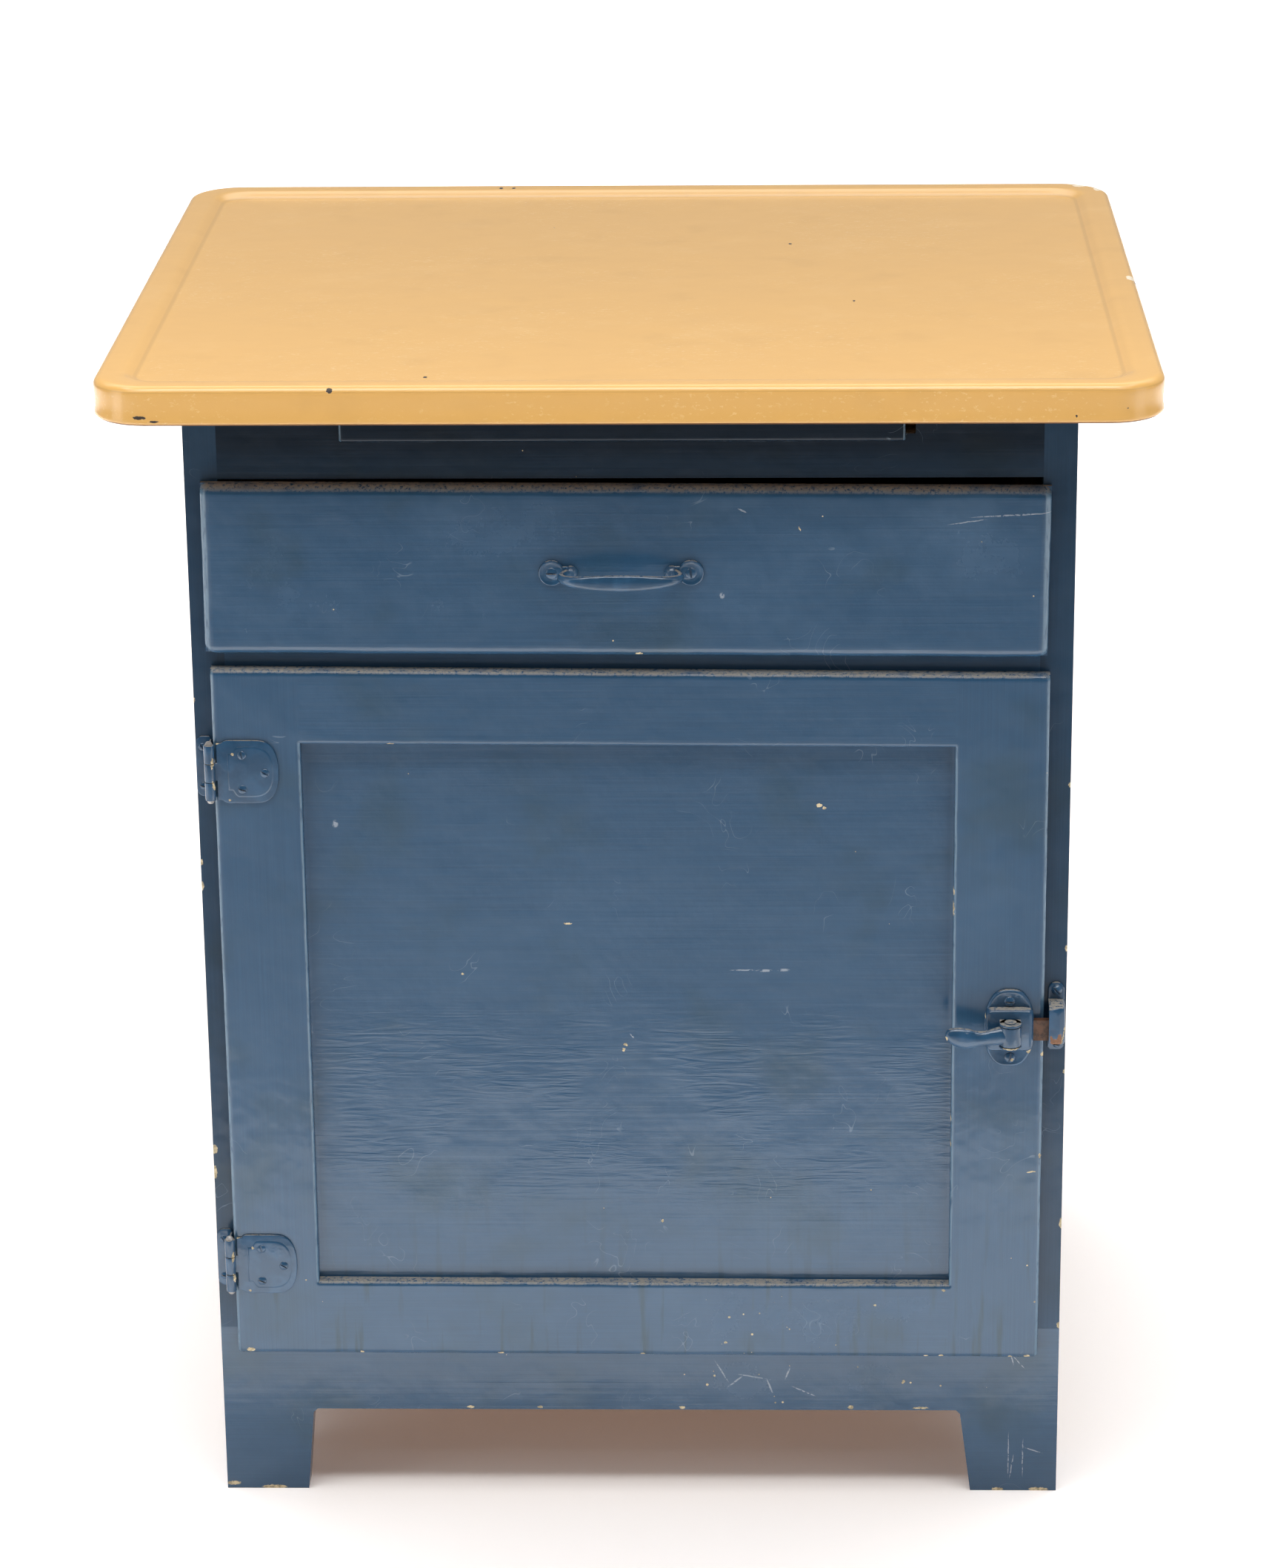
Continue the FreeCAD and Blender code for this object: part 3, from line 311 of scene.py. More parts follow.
def enamel():
    """Vitreous enamel: even and glossy, with clouds of wear, pin-holes, a few chips down to dark steel, and a
    painted shade along the foot of the rim.
    """
    g = Graph("enamel")
    wear_and_edge_highlight = g.step(g.noise(85.0, 5.0, 0.65), 0.50, 0.78)
    fine = g.noise(2.0, 3.0, 0.7)
    colour = g.mix(g.times(wear_and_edge_highlight, 0.35), ENAMEL, (0.68, 0.42, 0.16))
    field = g.height(845.6, 844.9)
    middle = g.times(field, g.step(g.noise(120.0, 3.0), 0.40, 0.62))
    flecks = g.step(g.noise((5.0, 2.0, 3.0), 3.0, 0.75), 0.58, 0.68)
    colour = g.mix(g.times(g.times(flecks, middle), 0.30), colour, (0.86, 0.66, 0.36))
    stained = g.step(g.noise(50.0, 3.0), 0.55, 0.75)
    colour = g.mix(g.times(stained, 0.18), colour, (0.50, 0.29, 0.09))
    # Painted shade: a darker band along the foot of the raised rim, where its slope meets the field.
    rim_foot_shade = g.times(g.height(845.0, 845.3), g.height(846.4, 845.6))
    colour = g.mix(g.times(rim_foot_shade, 0.35), colour, (0.42, 0.25, 0.09))
    distance, tint = g.cells(34.0)
    pins = g.math("LESS_THAN", distance, g.times(g.step(tint, 0.86, 1.0), 0.026))
    chips = g.spots(ENAMEL_CHIPS, g.ragged(0.8, 1.4))
    pale = g.spots(ENAMEL_PALE, g.ragged(1.6, 2.5))
    colour = g.mix(pale, colour, (0.86, 0.74, 0.55))
    dark = g.math("MAXIMUM", pins, chips)
    colour = g.mix(dark, colour, (0.030, 0.022, 0.016))
    rough = g.total((0.10, g.noise(30.0, 3.0)), (0.05, wear_and_edge_highlight), (1.0, 0.13))
    rough = g.math("ADD", rough, g.times(dark, 0.4))
    g.set(Base_Color=colour, Roughness=rough, IOR=1.52)
    g.bump(g.total((0.35, g.noise(40.0, 2.0)), (0.015, fine), (-0.25, dark)), 0.8)
    return g.material


def bare_wood(name, grain):
    """Unpainted softwood, browned and stained, with its grain along an axis."""
    g = Graph(name)
    long, wide, fine = (tuple(size if axis == grain else across for axis in "xyz") for size, across in FIGURE)
    figure = g.noise(long, 4.0, 0.6, 0.7)
    fibre = g.noise(fine, 2.0)
    stain = g.noise(wide, 4.0)
    colour = g.mix(g.step(figure, 0.35, 0.68), (0.36, 0.20, 0.095), (0.24, 0.12, 0.050))
    colour = g.mix(g.times(g.step(fibre, 0.45, 0.7), 0.35), colour, (0.14, 0.07, 0.03))
    colour = g.mix(g.times(g.step(stain, 0.5, 0.8), 0.5), colour, (0.09, 0.055, 0.03))
    g.set(Base_Color=colour, Roughness=g.total((0.25, fibre), (1.0, 0.5)))
    g.bump(g.total((0.15, fibre), (0.3, figure)))
    return g.material


def zinc():
    g = Graph("zinc")
    _, tint = g.cells(13.0)
    blotch = g.noise(55.0, 4.0, 0.6)
    colour = g.mix(tint, (0.36, 0.38, 0.39), (0.48, 0.50, 0.51))
    colour = g.mix(g.times(g.step(blotch, 0.5, 0.75), 0.6), colour, (0.62, 0.63, 0.60))
    g.set(Base_Color=colour, Metallic=0.85, Roughness=g.total((0.30, blotch), (0.12, tint), (1.0, 0.25)))
    g.bump(g.total((0.9, g.noise(45.0, 2.0)), (0.02, g.noise(1.5))))
    return g.material


def cork():
    g = Graph("cork")
    distance, tint = g.cells(5.0)
    colour = g.mix(tint, (0.30, 0.17, 0.075), (0.14, 0.07, 0.03))
    colour = g.mix(g.step(distance, 0.45, 0.75), colour, (0.05, 0.028, 0.014))
    g.set(Base_Color=colour, Roughness=g.total((0.15, tint), (1.0, 0.75)))
    g.bump(g.total((-0.8, distance), (0.2, g.noise(1.2))))
    return g.material


def iron(name, colour_a, colour_b, metal):
    """Dull or rusty iron: blotches of two colours with a pitted face."""
    g = Graph(name)
    blotch = g.step(g.noise(6.0, 5.0, 0.65), 0.40, 0.64)
    pits = g.noise(0.9, 3.0, 0.7)
    g.set(
        Base_Color=g.mix(blotch, colour_a, colour_b),
        Metallic=g.times(blotch, metal),
        Roughness=g.total((0.25, pits), (1.0, 0.42)),
    )
    g.bump(g.total((0.18, pits), (0.12, blotch)))
    return g.material


def rubber():
    g = Graph("rubber")
    chalk = g.step(g.noise(12.0, 4.0), 0.45, 0.75)
    colour = g.mix(chalk, (0.018, 0.017, 0.016), (0.060, 0.056, 0.050))
    g.set(Base_Color=colour, Roughness=g.total((0.1, chalk), (1.0, 0.7)))
    g.bump(g.total((0.2, g.noise(3.0, 3.0))))
    return g.material


# Marks: chips show what is under the paint, rubbed places are paler


def marks(rows, y=None, depth=0.0):
    """Marks from rows of x, z, half width, half height and turn, at a y with a half depth, or at any y."""
    return [((x, y, z), (half_x, depth, half_z), sum(turn)) for x, z, half_x, half_z, *turn in rows]


ENAMEL_CHIPS = [
    ((-198.0, -319.0, 847.0), (2.0, 4.0, 1.8), 0.0),
    ((-326.0, -318.0, 828.5), (4.5, 6.0, 1.1), 0.0),
    ((-316.0, -319.0, 826.0), (3.0, 4.0, 0.8), 0.0),
    ((361.0, -18.0, 845.5), (2.5, 5.0, 3.5), 0.0),
    ((352.0, 300.0, 845.0), (3.0, 3.0, 2.0), 0.0),
    ((-117.0, 306.0, 849.0), (1.6, 3.0, 2.0), 0.0),
    ((-107.0, 306.0, 849.0), (1.3, 2.6, 2.0), 0.0),
    ((111.0, 126.0, 845.0), (1.2, 2.4, 2.0), 0.0),
    ((-137.0, -275.0, 845.0), (1.3, 2.4, 2.0), 0.0),
    ((156.0, -58.0, 845.0), (1.0, 2.0, 2.0), 0.0),
    ((340.0, -319.0, 842.0), (1.2, 3.0, 1.2), 0.0),
    ((334.0, -319.0, 833.0), (0.9, 3.0, 0.9), 0.0),
    ((300.0, -319.0, 828.0), (0.8, 3.0, 0.8), 0.0),
]
ENAMEL_PALE = [
    ((357.0, -10.0, 849.0), (3.0, 7.0, 2.5), 0.0),
    ((340.0, 306.0, 849.0), (6.0, 4.0, 2.5), 0.0),
    ((353.0, 293.0, 848.5), (3.5, 6.0, 2.5), 0.0),
    ((322.0, 316.0, 849.0), (4.0, 2.5, 2.5), 0.0),
]
PANEL_CHIPS = marks([
    (130.0, 534.5, 2.2, 1.4),
    (133.5, 532.5, 1.4, 0.9),
    (-47.0, 446.0, 2.9, 0.6),
    (-7.0, 354.0, 1.6, 1.0, 30.0),
    (-8.5, 350.0, 1.0, 1.4),
    (-122.0, 408.0, 1.0, 0.8),
    (18.0, 217.0, 1.0, 1.3),
])
PANEL_SCRATCHES = marks([
    (76.0, 411.0, 8.0, 0.45),
    (92.0, 410.6, 6.0, 0.9),
    (105.0, 411.0, 4.0, 0.9),
    (-209.0, 521.0, 2.0, 2.6),
    (-2.0, 360.0, 3.0, 0.5, 50.0),
])
DOOR_CHIPS = marks([
    (-168.0, 583.2, 2.2, 0.7),
    (223.8, 473.0, 0.8, 2.2),
    (223.8, 460.0, 0.8, 5.0),
    (223.6, 300.0, 0.7, 2.0),
    (223.9, 281.0, 0.7, 1.6),
    (281.5, 260.4, 3.2, 0.6, -3.0),
    (287.6, 272.5, 1.0, 1.6),
    (288.0, 351.0, 1.0, 1.6),
    (-282.0, 118.5, 3.2, 1.6),
    (-201.0, 116.8, 1.6, 1.0),
    (-100.0, 116.0, 2.2, 0.9),
    (3.0, 115.6, 1.6, 0.9),
    (219.0, 114.9, 1.7, 1.0),
    (281.0, 114.6, 2.2, 1.2),
    (63.0, 125.0, 1.2, 0.8),
    (171.0, 155.0, 1.0, 0.9),
    (220.0, 167.0, 1.3, 0.9, 20.0),
    (208.0, 114.5, 1.5, 0.8),
    (269.0, 114.0, 1.6, 0.9),
])
DOOR_RUBBED = marks([(95.0, 142.0, 70.0, 22.0), (190.0, 150.0, 18.0, 12.0)])
DOOR_FLAKED = marks([(95.0, 140.0, 62.0, 20.0), (272.0, 160.0, 12.0, 34.0)])
DRAWER_CHIPS = marks([(5.5, 648.5, 2.6, 0.9), (116.0, 738.0, 1.6, 0.5, 55.0)])
DRAWER_SCRATCHES = marks([
    (77.0, 751.0, 3.0, 0.6, 25.0),
    (260.0, 747.2, 26.0, 0.5, -3.0),
    (230.0, 742.5, 12.0, 0.4, -8.0),
    (63.0, 690.5, 1.6, 2.0),
])
DRAWER_RUBBED = marks([
    (-87.0, 735.0, 50.0, 22.0, -10.0),
    (-236.0, 690.0, 45.0, 34.0, 20.0),
    (-110.0, 678.0, 34.0, 16.0),
    (245.0, 724.0, 42.0, 20.0),
])
CASE_CHIPS = marks([
    (-304.5, 492.0, 1.6, 2.2),
    (-305.0, 474.0, 1.8, 3.5),
    (-304.0, 272.0, 2.4, 3.5),
    (-304.5, 254.0, 1.8, 5.0),
    (304.5, 549.0, 1.2, 1.6),
    (304.5, 427.0, 1.4, 2.2),
    (304.5, 333.0, 1.2, 1.8),
    (304.5, 215.0, 1.3, 4.0),
    (304.5, 134.0, 1.6, 2.4),
    (-300.0, 4.0, 5.0, 1.6),
    (-270.0, 1.0, 9.0, 1.6),
    (262.0, 1.0, 4.0, 1.4),
    (292.0, 1.0, 7.0, 1.4),
], FACE, 4.0)
CASE_CHIPS += marks([(-305.0, 612.0, 1.2, 2.0)], FACE, 3.0)
APRON_CHIPS = marks([
    (-124.0, 66.8, 2.6, 1.1),
    (-73.0, 66.8, 2.0, 1.0),
    (31.0, 66.8, 2.2, 1.0),
    (154.0, 67.2, 2.0, 1.4),
    (205.0, 66.8, 6.0, 0.8),
], FACE, 4.0)
APRON_RUBBED = marks([(88.0, 88.0, 48.0, 15.0), (180.0, 92.0, 40.0, 12.0)])
APRON_FLAKED = marks([(100.0, 88.0, 75.0, 17.0), (205.0, 88.0, 45.0, 12.0)])
APRON_SCRATCHES = marks([
    (60.0, 96.0, 9.0, 0.5, 60.0),
    (70.0, 88.0, 7.0, 0.6, -40.0),
    (82.0, 92.0, 10.0, 0.5, 10.0),
    (95.0, 84.0, 6.0, 0.6, 70.0),
    (108.0, 95.0, 5.0, 0.6, -70.0),
    (120.0, 80.0, 9.0, 0.5, 25.0),
    (269.5, 29.0, 0.4, 16.0),
    (280.0, 27.0, 0.4, 14.0),
    (276.0, 104.0, 6.0, 0.4, 50.0),
    (271.0, 107.0, 5.0, 0.4, 75.0),
    (272.0, 20.0, 0.4, 9.0, 8.0),
    (287.0, 33.0, 7.0, 0.4, 20.0),
])
METAL_CHIPS = marks([
    (278.6, 354.5, 2.0, 1.1, -35.0),
    (266.5, 348.4, 1.3, 0.8, -30.0),
    (219.3, 371.5, 0.8, 1.8),
    (264.4, 364.0, 5.5, 0.45),
    (246.8, 382.0, 0.7, 2.2),
    (302.2, 369.0, 0.5, 8.0, 10.0),
    (303.0, 358.0, 0.9, 1.2),
])
METAL_RUST = marks([
    (297.0, 363.5, 4.0, 2.6),
    (299.5, 367.0, 1.6, 3.0),
    (293.5, 366.5, 1.2, 2.0),
])
for middle in HINGE_Z.values():
    METAL_CHIPS += marks([
        (-291.6, middle + 7.2, 0.8, 4.2, 6.0),
        (-291.2, middle - 9.0, 0.8, 3.4, -8.0),
        (-277.6, middle + 13.2, 1.0, 0.8),
        (-288.4, middle + 21.0, 1.4, 0.8),
        (-280.5, middle - 20.8, 0.9, 0.8),
    ])


# Camera, lights and floor


def set_camera():
    right = Vector((0.999615, 0.025906, -0.009933)).normalized()
    forward = Vector((-0.027734, 0.943235, -0.330966)).normalized()
    camera = bpy.data.objects.new("camera", bpy.data.cameras.new("camera"))
    camera.matrix_world = Matrix((right, right.cross(forward), -forward)).transposed().to_4x4()
    camera.location = (0.09819, -3.36396, 1.63751)
    camera.data.lens = 108.21
    camera.data.sensor_width = 36.0
    camera.data.clip_end = 100.0
    bpy.context.scene.collection.objects.link(camera)
    bpy.context.scene.camera = camera


def add_light(name, location, target, size, watts, spread=180.0):
    light = bpy.data.lights.new(name, "AREA")
    light.shape = "RECTANGLE"
    light.size, light.size_y = size
    light.energy = watts
    light.spread = math.radians(spread)
    lamp = bpy.data.objects.new(name, light)
    lamp.location = location
    lamp.rotation_euler = (Vector(target) - Vector(location)).to_track_quat("-Z", "Y").to_euler()
    bpy.context.scene.collection.objects.link(lamp)


def set_studio():
    """Soft key light high in front, tall panels at both sides, and a wall of light behind."""
    scene = bpy.context.scene
    scene.view_settings.view_transform = "Standard"
    scene.world = bpy.data.worlds.new("studio")
    scene.world.use_nodes = True
    tree = scene.world.node_tree
    toward = tree.nodes.new("ShaderNodeSeparateXYZ")
    tree.links.new(tree.nodes.new("ShaderNodeTexCoord").outputs["Generated"], toward.inputs[0])
    fade = tree.nodes.new("ShaderNodeMapRange")
    fade.interpolation_type = "SMOOTHSTEP"
    for index, value in enumerate((-0.3, 0.7, 0.03, 0.40), start=1):
        fade.inputs[index].default_value = value
    tree.links.new(toward.outputs[1], fade.inputs[0])
    tree.links.new(fade.outputs[0], tree.nodes["Background"].inputs["Strength"])
    tree.nodes["Background"].inputs["Color"].default_value = (1.0, 1.0, 1.0, 1.0)
    add_light("key", (0.0, -0.75, 2.3), (0.0, -0.3, 0.4), (1.6, 0.7), 21.5)
    add_light("left_side", (-1.7, -0.9, 0.95), (0.0, -0.2, 0.5), (0.7, 1.7), 6.5)
    add_light("right_side", (1.7, -0.9, 0.95), (0.0, -0.2, 0.5), (0.7, 1.7), 4.5)
    add_light("left_spark", (-1.3, -2.3, 2.2), (0.0, -0.3, 0.6), (0.12, 0.12), 1.1)
    add_light("right_spark", (1.3, -2.3, 2.2), (0.0, -0.3, 0.6), (0.12, 0.12), 1.1)
    add_light("table_top", (0.0, 0.1, 2.4), (0.0, 0.1, 0.0), (2.4, 1.2), 7.0)
    add_light("front_strip", (0.0, -0.72, 1.42), (0.0, -0.72, 0.0), (1.6, 0.25), 4.2)
    add_light("light_table", (0.0, -0.66, 0.005), (0.0, -0.66, 1.0), (1.8, 0.5), 5.0)
    add_light("floor_left", (-2.3, 0.0, 2.8), (-2.3, 0.0, 0.0), (2.4, 4.0), 60.0, 70.0)
    add_light("floor_right", (2.3, 0.0, 2.8), (2.3, 0.0, 0.0), (2.4, 4.0), 50.0, 70.0)
    add_light("floor_behind", (0.0, 4.6, 3.6), (0.0, 4.6, 0.0), (9.0, 6.5), 330.0, 120.0)


def add_floor():
    g = Graph("floor_paint")
    g.set(Base_Color=g.mix(g.noise(300.0, 3.0), (0.94, 0.925, 0.91), (0.95, 0.935, 0.92)), Roughness=0.85)
    # Painted light: the floor glows a little in a warm colour, which lifts the shadow under the cabinet.
    g.set(Emission_Color=(1.0, 0.70, 0.56), Emission_Strength=0.15)
    g.bump(g.total((0.1, g.noise(4.0))))
    mesh = bpy.data.meshes.new("floor")
    mesh.from_pydata([(-14, -14, 0), (14, -14, 0), (14, 14, 0), (-14, 14, 0)], [], [(0, 1, 2, 3)])
    floor = bpy.data.objects.new("floor", mesh)
    floor.location.z = -0.0002
    mesh.materials.append(g.material)
    bpy.context.scene.collection.objects.link(floor)


# Mesh building


def add_piece(name, vertices, faces, material, body, slot, *nodes, crease=40.0):
    """Mesh from points in millimetres, which rides on a body and stands for the named CAD nodes."""
    mesh = bpy.data.meshes.new(name)
    mesh.from_pydata([Vector(v) * MM for v in vertices], [], faces)
    mesh.validate()
    mesh.shade_smooth()
    mesh.set_sharp_from_angle(angle=math.radians(crease))
    mesh.materials.append(material)
    piece = bpy.data.objects.new(name, mesh)
    bpy.context.scene.collection.objects.link(piece)
    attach(piece, body)
    if nodes:
        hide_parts(*nodes)
    return piece


def wobble(size, *at):
    """Smooth noise between 0 and 1 with features of about that size."""
    return 0.5 + 0.5 * max(-1.0, min(1.0, 1.4 * noise.noise(Vector(at) / size)))


def ticks(low, high, pitch, *fine):
    """Positions from low to high, spaced by pitch, and closer together around the fine ones."""
    count = max(1, round((high - low) / pitch))
    found = [low + (high - low) * k / count for k in range(count + 1)]
    for middle in fine:
        for reach in (0.0, 0.25, 0.7, 1.4, 2.3, 3.4, 4.8, 6.6, 8.6):
            found += [middle - reach, middle + reach]
    found = sorted(f for f in found if low <= f <= high)
    kept = [found[0]]
    for f in found[1:]:
        if f - kept[-1] > 0.12:
            kept.append(f)
    kept[-1] = high
    return kept


def relief(points, wide, back):
    """Closed shape whose face is rows of points, wide points in each, with a flat back at that y."""
    tall = len(points) // wide
    faces = []
    for r in range(tall - 1):
        for c in range(wide - 1):
            k = r * wide + c
            faces.append((k, k + 1, k + wide + 1, k + wide))
    border = list(range(wide)) + [r * wide + wide - 1 for r in range(1, tall)]
    border += [(tall - 1) * wide + c for c in range(wide - 2, -1, -1)]
    border += [r * wide for r in range(tall - 2, 0, -1)]
    first, count = len(points), len(border)
    for k in range(count):
        n = (k + 1) % count
        faces.append((border[n], border[k], first + k, first + n))
    faces.append(tuple(first + k for k in range(count))[::-1])
    return points + [(points[k][0], back, points[k][2]) for k in border], faces


def board(node, body, material, columns, rows, place, front, back=LAP_BACK, core=None, name=None):
    """Board with a modelled face. place turns a grid point into x and z, and front gives its y."""
    points = []
    for row in rows:
        for column in columns:
            x, z = place(column, row)
            points.append((x, front(x, z), z))
    vertices, faces = relief(points, len(columns), back)
    if core:
        (x0, x1), (z0, z1) = core
        first = len(vertices)
        vertices += [(x, y, z) for y in (back - 0.6, CORE_BACK) for z in (z0, z1) for x in (x0, x1)]
        quads = [(0, 1, 3, 2), (5, 4, 6, 7), (4, 0, 2, 6), (1, 5, 7, 3), (2, 3, 7, 6), (4, 5, 1, 0)]
        faces += [tuple(first + k for k in quad) for quad in quads]
    name = name or "painted_" + node
    add_piece(name, vertices, faces, material, body, "blue_painted_wood", node, crease=50.0)


def along(ends, x):
    """Height at x of an edge of the sagging door, given at its left and right ends."""
    share = (x - DOOR_X[0]) / (DOOR_X[1] - DOOR_X[0])
    return ends[0] + (ends[1] - ends[0]) * share


def rounding(reach, radius):
    """How far a face falls back where the edge is nearer than the radius. reach lists distances to edges."""
    q = math.sqrt(sum(max(0.0, radius - r) ** 2 for r in reach))
    q = min(q, radius)
    return radius - math.sqrt(max(0.0, radius * radius - q * q))


def brushed(x, z):
    """Unevenness of thick paint, from 0 to about half a millimetre behind the face."""
    return 0.22 * wobble(38.0, x, z, 3.0) + 0.14 * wobble(13.0, x, z, 9.0) + 0.05 * wobble(5.0, x, z, 5.0)


def door_front(x, z):
    edge = 0.45 * wobble(21.0, x, z, 30.0) + 0.25 * wobble(7.0, x, z, 40.0)
    sides = [x - DOOR_X[0], DOOR_X[1] - x, z - along(DOOR_UNDER, x), along(DOOR_TOP, x) - z]
    back = rounding([s + edge for s in sides], DOOR_ROUND)
    aside = max(WINDOW_X[0] - x, x - WINDOW_X[1], 0.0)
    above = max(along(WINDOW_UNDER, x) - z, z - along(WINDOW_TOP, x), 0.0)
    back = max(back, rounding([math.hypot(aside, above) + edge], WINDOW_ROUND))
    return DOOR_FACE + min(9.0, back + brushed(x, z))


def add_door(paint_stile, paint_rail, paint_panel):
    for name, x, core_x in (
        ("door_hinge_stile", (DOOR_X[0], WINDOW_X[0]), (-CORE_X, -238.6)),
        ("door_latch_stile", (WINDOW_X[1], DOOR_X[1]), (232.0, CORE_X)),
    ):
        columns = ticks(*x, 9.0, *x)
        rows = ticks(0.0, 520.0, 7.0, 0.0, 57.3, 467.2, 520.0)

        def place(column, row):
            low, high = along(DOOR_UNDER, column), along(DOOR_TOP, column)
            return column, low + (high - low) * row / 520.0

        board(name, "door", paint_stile, columns, rows, place, door_front, core=(core_x, CORE_Z))
    for name, low, high, core_z in (
        ("door_bottom_rail", DOOR_UNDER, WINDOW_UNDER, (134.0, 162.5)),
        ("door_top_rail", WINDOW_TOP, DOOR_TOP, (592.0, 619.0)),
    ):
        columns = ticks(*WINDOW_X, 7.0, *WINDOW_X)
        rows = ticks(0.0, 57.0, 5.0, 0.0, 57.0)

        def place(column, row):
            a, b = along(low, column), along(high, column)
            return column, a + (b - a) * row / 57.0

        board(name, "door", paint_rail, columns, rows, place, door_front, core=(WINDOW_X, core_z))

    def panel_place(column, row):
        low, high = along(WINDOW_UNDER, column) - 0.3, along(WINDOW_TOP, column) + 0.3
        return column, low + (high - low) * row / 410.0

    def panel_front(x, z):
        bow = 0.5 * wobble(120.0, x, z, 1.0) + 0.25 * wobble(30.0, x, z, 8.0)
        inside = min(x - WINDOW_X[0], WINDOW_X[1] - x)
        inside = min(inside, z - along(WINDOW_UNDER, x), along(WINDOW_TOP, x) - z)
        return PANEL_Y[0] + bow - 0.5 * max(0.0, 1.0 - max(0.0, inside) / 2.0)

    columns = ticks(WINDOW_X[0] - 0.3, WINDOW_X[1] + 0.3, 7.0, WINDOW_X[0], WINDOW_X[1])
    rows = ticks(0.0, 410.0, 6.0, 0.0, 410.0)
    board("door_panel", "door", paint_panel, columns, rows, panel_place, panel_front, back=PANEL_Y[1])


def add_drawer_front(paint):
    half = DRAWER_H / 2
    sine, cosine = math.sin(DRAWER_TILT), math.cos(DRAWER_TILT)
    mid_x, mid_z = DRAWER_MIDDLE

    def place(column, row):
        out = column - mid_x
        return mid_x + out * cosine + row * sine, mid_z + row * cosine - out * sine

    def front(x, z):
        column = mid_x + (x - mid_x) * cosine - (z - mid_z) * sine
        row = (x - mid_x) * sine + (z - mid_z) * cosine
        edge = 0.6 * wobble(30.0, x, z, 70.0) + 0.3 * wobble(9.0, x, z, 80.0)
        sides = [column - DRAWER_X[0], DRAWER_X[1] - column, row + half, half - row]
        return DOOR_FACE + rounding([s + edge for s in sides], DRAWER_ROUND) + brushed(x, z)

    columns = ticks(*DRAWER_X, 7.0, *DRAWER_X)
    rows = ticks(-half, half, 6.0, -half, half)
    core = ((-266.4, 266.4), (666.0, 759.8))
    board("drawer_front", "drawer", paint, columns, rows, place, front, core=core)


def add_strip(paint):
    def place(column, row):
        share = (row - STRIP_Z[0]) / (STRIP_Z[1] - STRIP_Z[0])
        low = STRIP_Z[0] + 1.2 * wobble(60.0, column, 4.0, 2.0)
        return column, low + (STRIP_Z[1] - low) * share

    def front(x, z):
        sides = [x - STRIP_X[0], STRIP_X[1] - x, z - STRIP_Z[0] - 0.8]
        return FACE - 6.0 + rounding(sides, 2.8) + 0.5 * brushed(x, z)

    columns = ticks(*STRIP_X, 6.0, *STRIP_X)
    rows = ticks(*STRIP_Z, 4.0, STRIP_Z[0])
    name = "painted_board_strip"
    board("board_front_strip", "pull_out_board", paint, columns, rows, place, front, name=name)


def around(x, y, radius, angle):
    return x + radius * math.cos(angle), y + radius * math.sin(angle)


def turn_angles(sides):
    return [2.0 * math.pi * k / sides for k in range(sides)]


def rounded_loop(inset, z, sag=0.0):
    """Closed loop of points round the top, at an inset from its edge."""
    half_x, half_y = TOP_HALF[0] - inset, TOP_HALF[1] - inset
    radius = max(6.0, TOP_CORNER - 0.62 * inset)
    points = []
    for k in range(4):
        sx, sy = ((1, 1), (-1, 1), (-1, -1), (1, -1))[k]
        centre = (sx * (half_x - radius), sy * (half_y - radius))
        for step in range(13):
            angle = math.radians(90.0 * k + 7.5 * step)
            points.append(around(*centre, radius, angle))
        nx, ny = ((-1, 1), (-1, -1), (1, -1), (1, 1))[k]
        following = (nx * (half_x - radius), ny * (half_y - radius))
        angle = math.radians(90.0 * (k + 1))
        end = around(*following, radius, angle)
        start = points[-1]
        for step in range(1, 26):
            share = step / 26.0
            points.append(tuple(a + (b - a) * share for a, b in zip(start, end)))
    return [(x, y, z - sag * wobble(70.0, x, y, 6.0)) for x, y in points]


def add_enamel_top(material):
    """Pressed sheet with a rolled hem, a skirt, a round arris, a raised rim and a field a little lower."""
    arris = []
    for angle in range(0, 91, 10):
        across, up = around(0.0, 0.0, 5.5, math.radians(angle))
        arris.append((5.5 - across, 843.9 + up))
    outside = [(1.5, 823.8), (0.6, 823.85), (0.1, 824.5), (0.0, 825.4)]
    outside += [(0.15, 826.8), (0.55, 828.6), (0.6, 834.0), (0.25, 840.0)]
    outside += arris
    outside += [(9.0, 849.4), (14.0, 849.3), (18.0, 849.15), (20.0, 848.8), (22.0, 848.0), (24.0, 846.9)]
    outside += [(26.0, 845.8), (28.0, 845.15), (30.5, 844.9), (34.0, 844.85), (50.0, 844.8)]
    field = [(75.0, 844.75)] + [(inset, 844.7) for inset in (105.0, 140.0, 180.0, 225.0, 270.0, 305.0)]
    inside = [(300.0, 843.4), (29.0, 843.4), (21.0, 847.2), (8.0, 847.8), (4.0, 846.8), (1.7, 842.0)]
    loops = [rounded_loop(*o) for o in outside] + [rounded_loop(*f, sag=0.35) for f in field]
    top_count = len(loops)
    loops += [rounded_loop(*i) for i in inside]
    count = len(loops[0])
    vertices = [p for loop in loops for p in loop]
    faces = []
    for level in range(len(loops)):
        if level == top_count - 1:
            continue
        lower, upper = level * count, (level + 1) % len(loops) * count
        for k in range(count):
            n = (k + 1) % count
            faces.append((lower + k, lower + n, upper + n, upper + k))
    faces.append(tuple((top_count - 1) * count + k for k in range(count)))
    faces.append(tuple(top_count * count + k for k in range(count))[::-1])
    sheet = ("enamelled_sheet", vertices, faces, material)
    add_piece(*sheet, "cabinet", "yellow_enamel", "enamel_top", crease=60.0)


# Hardware


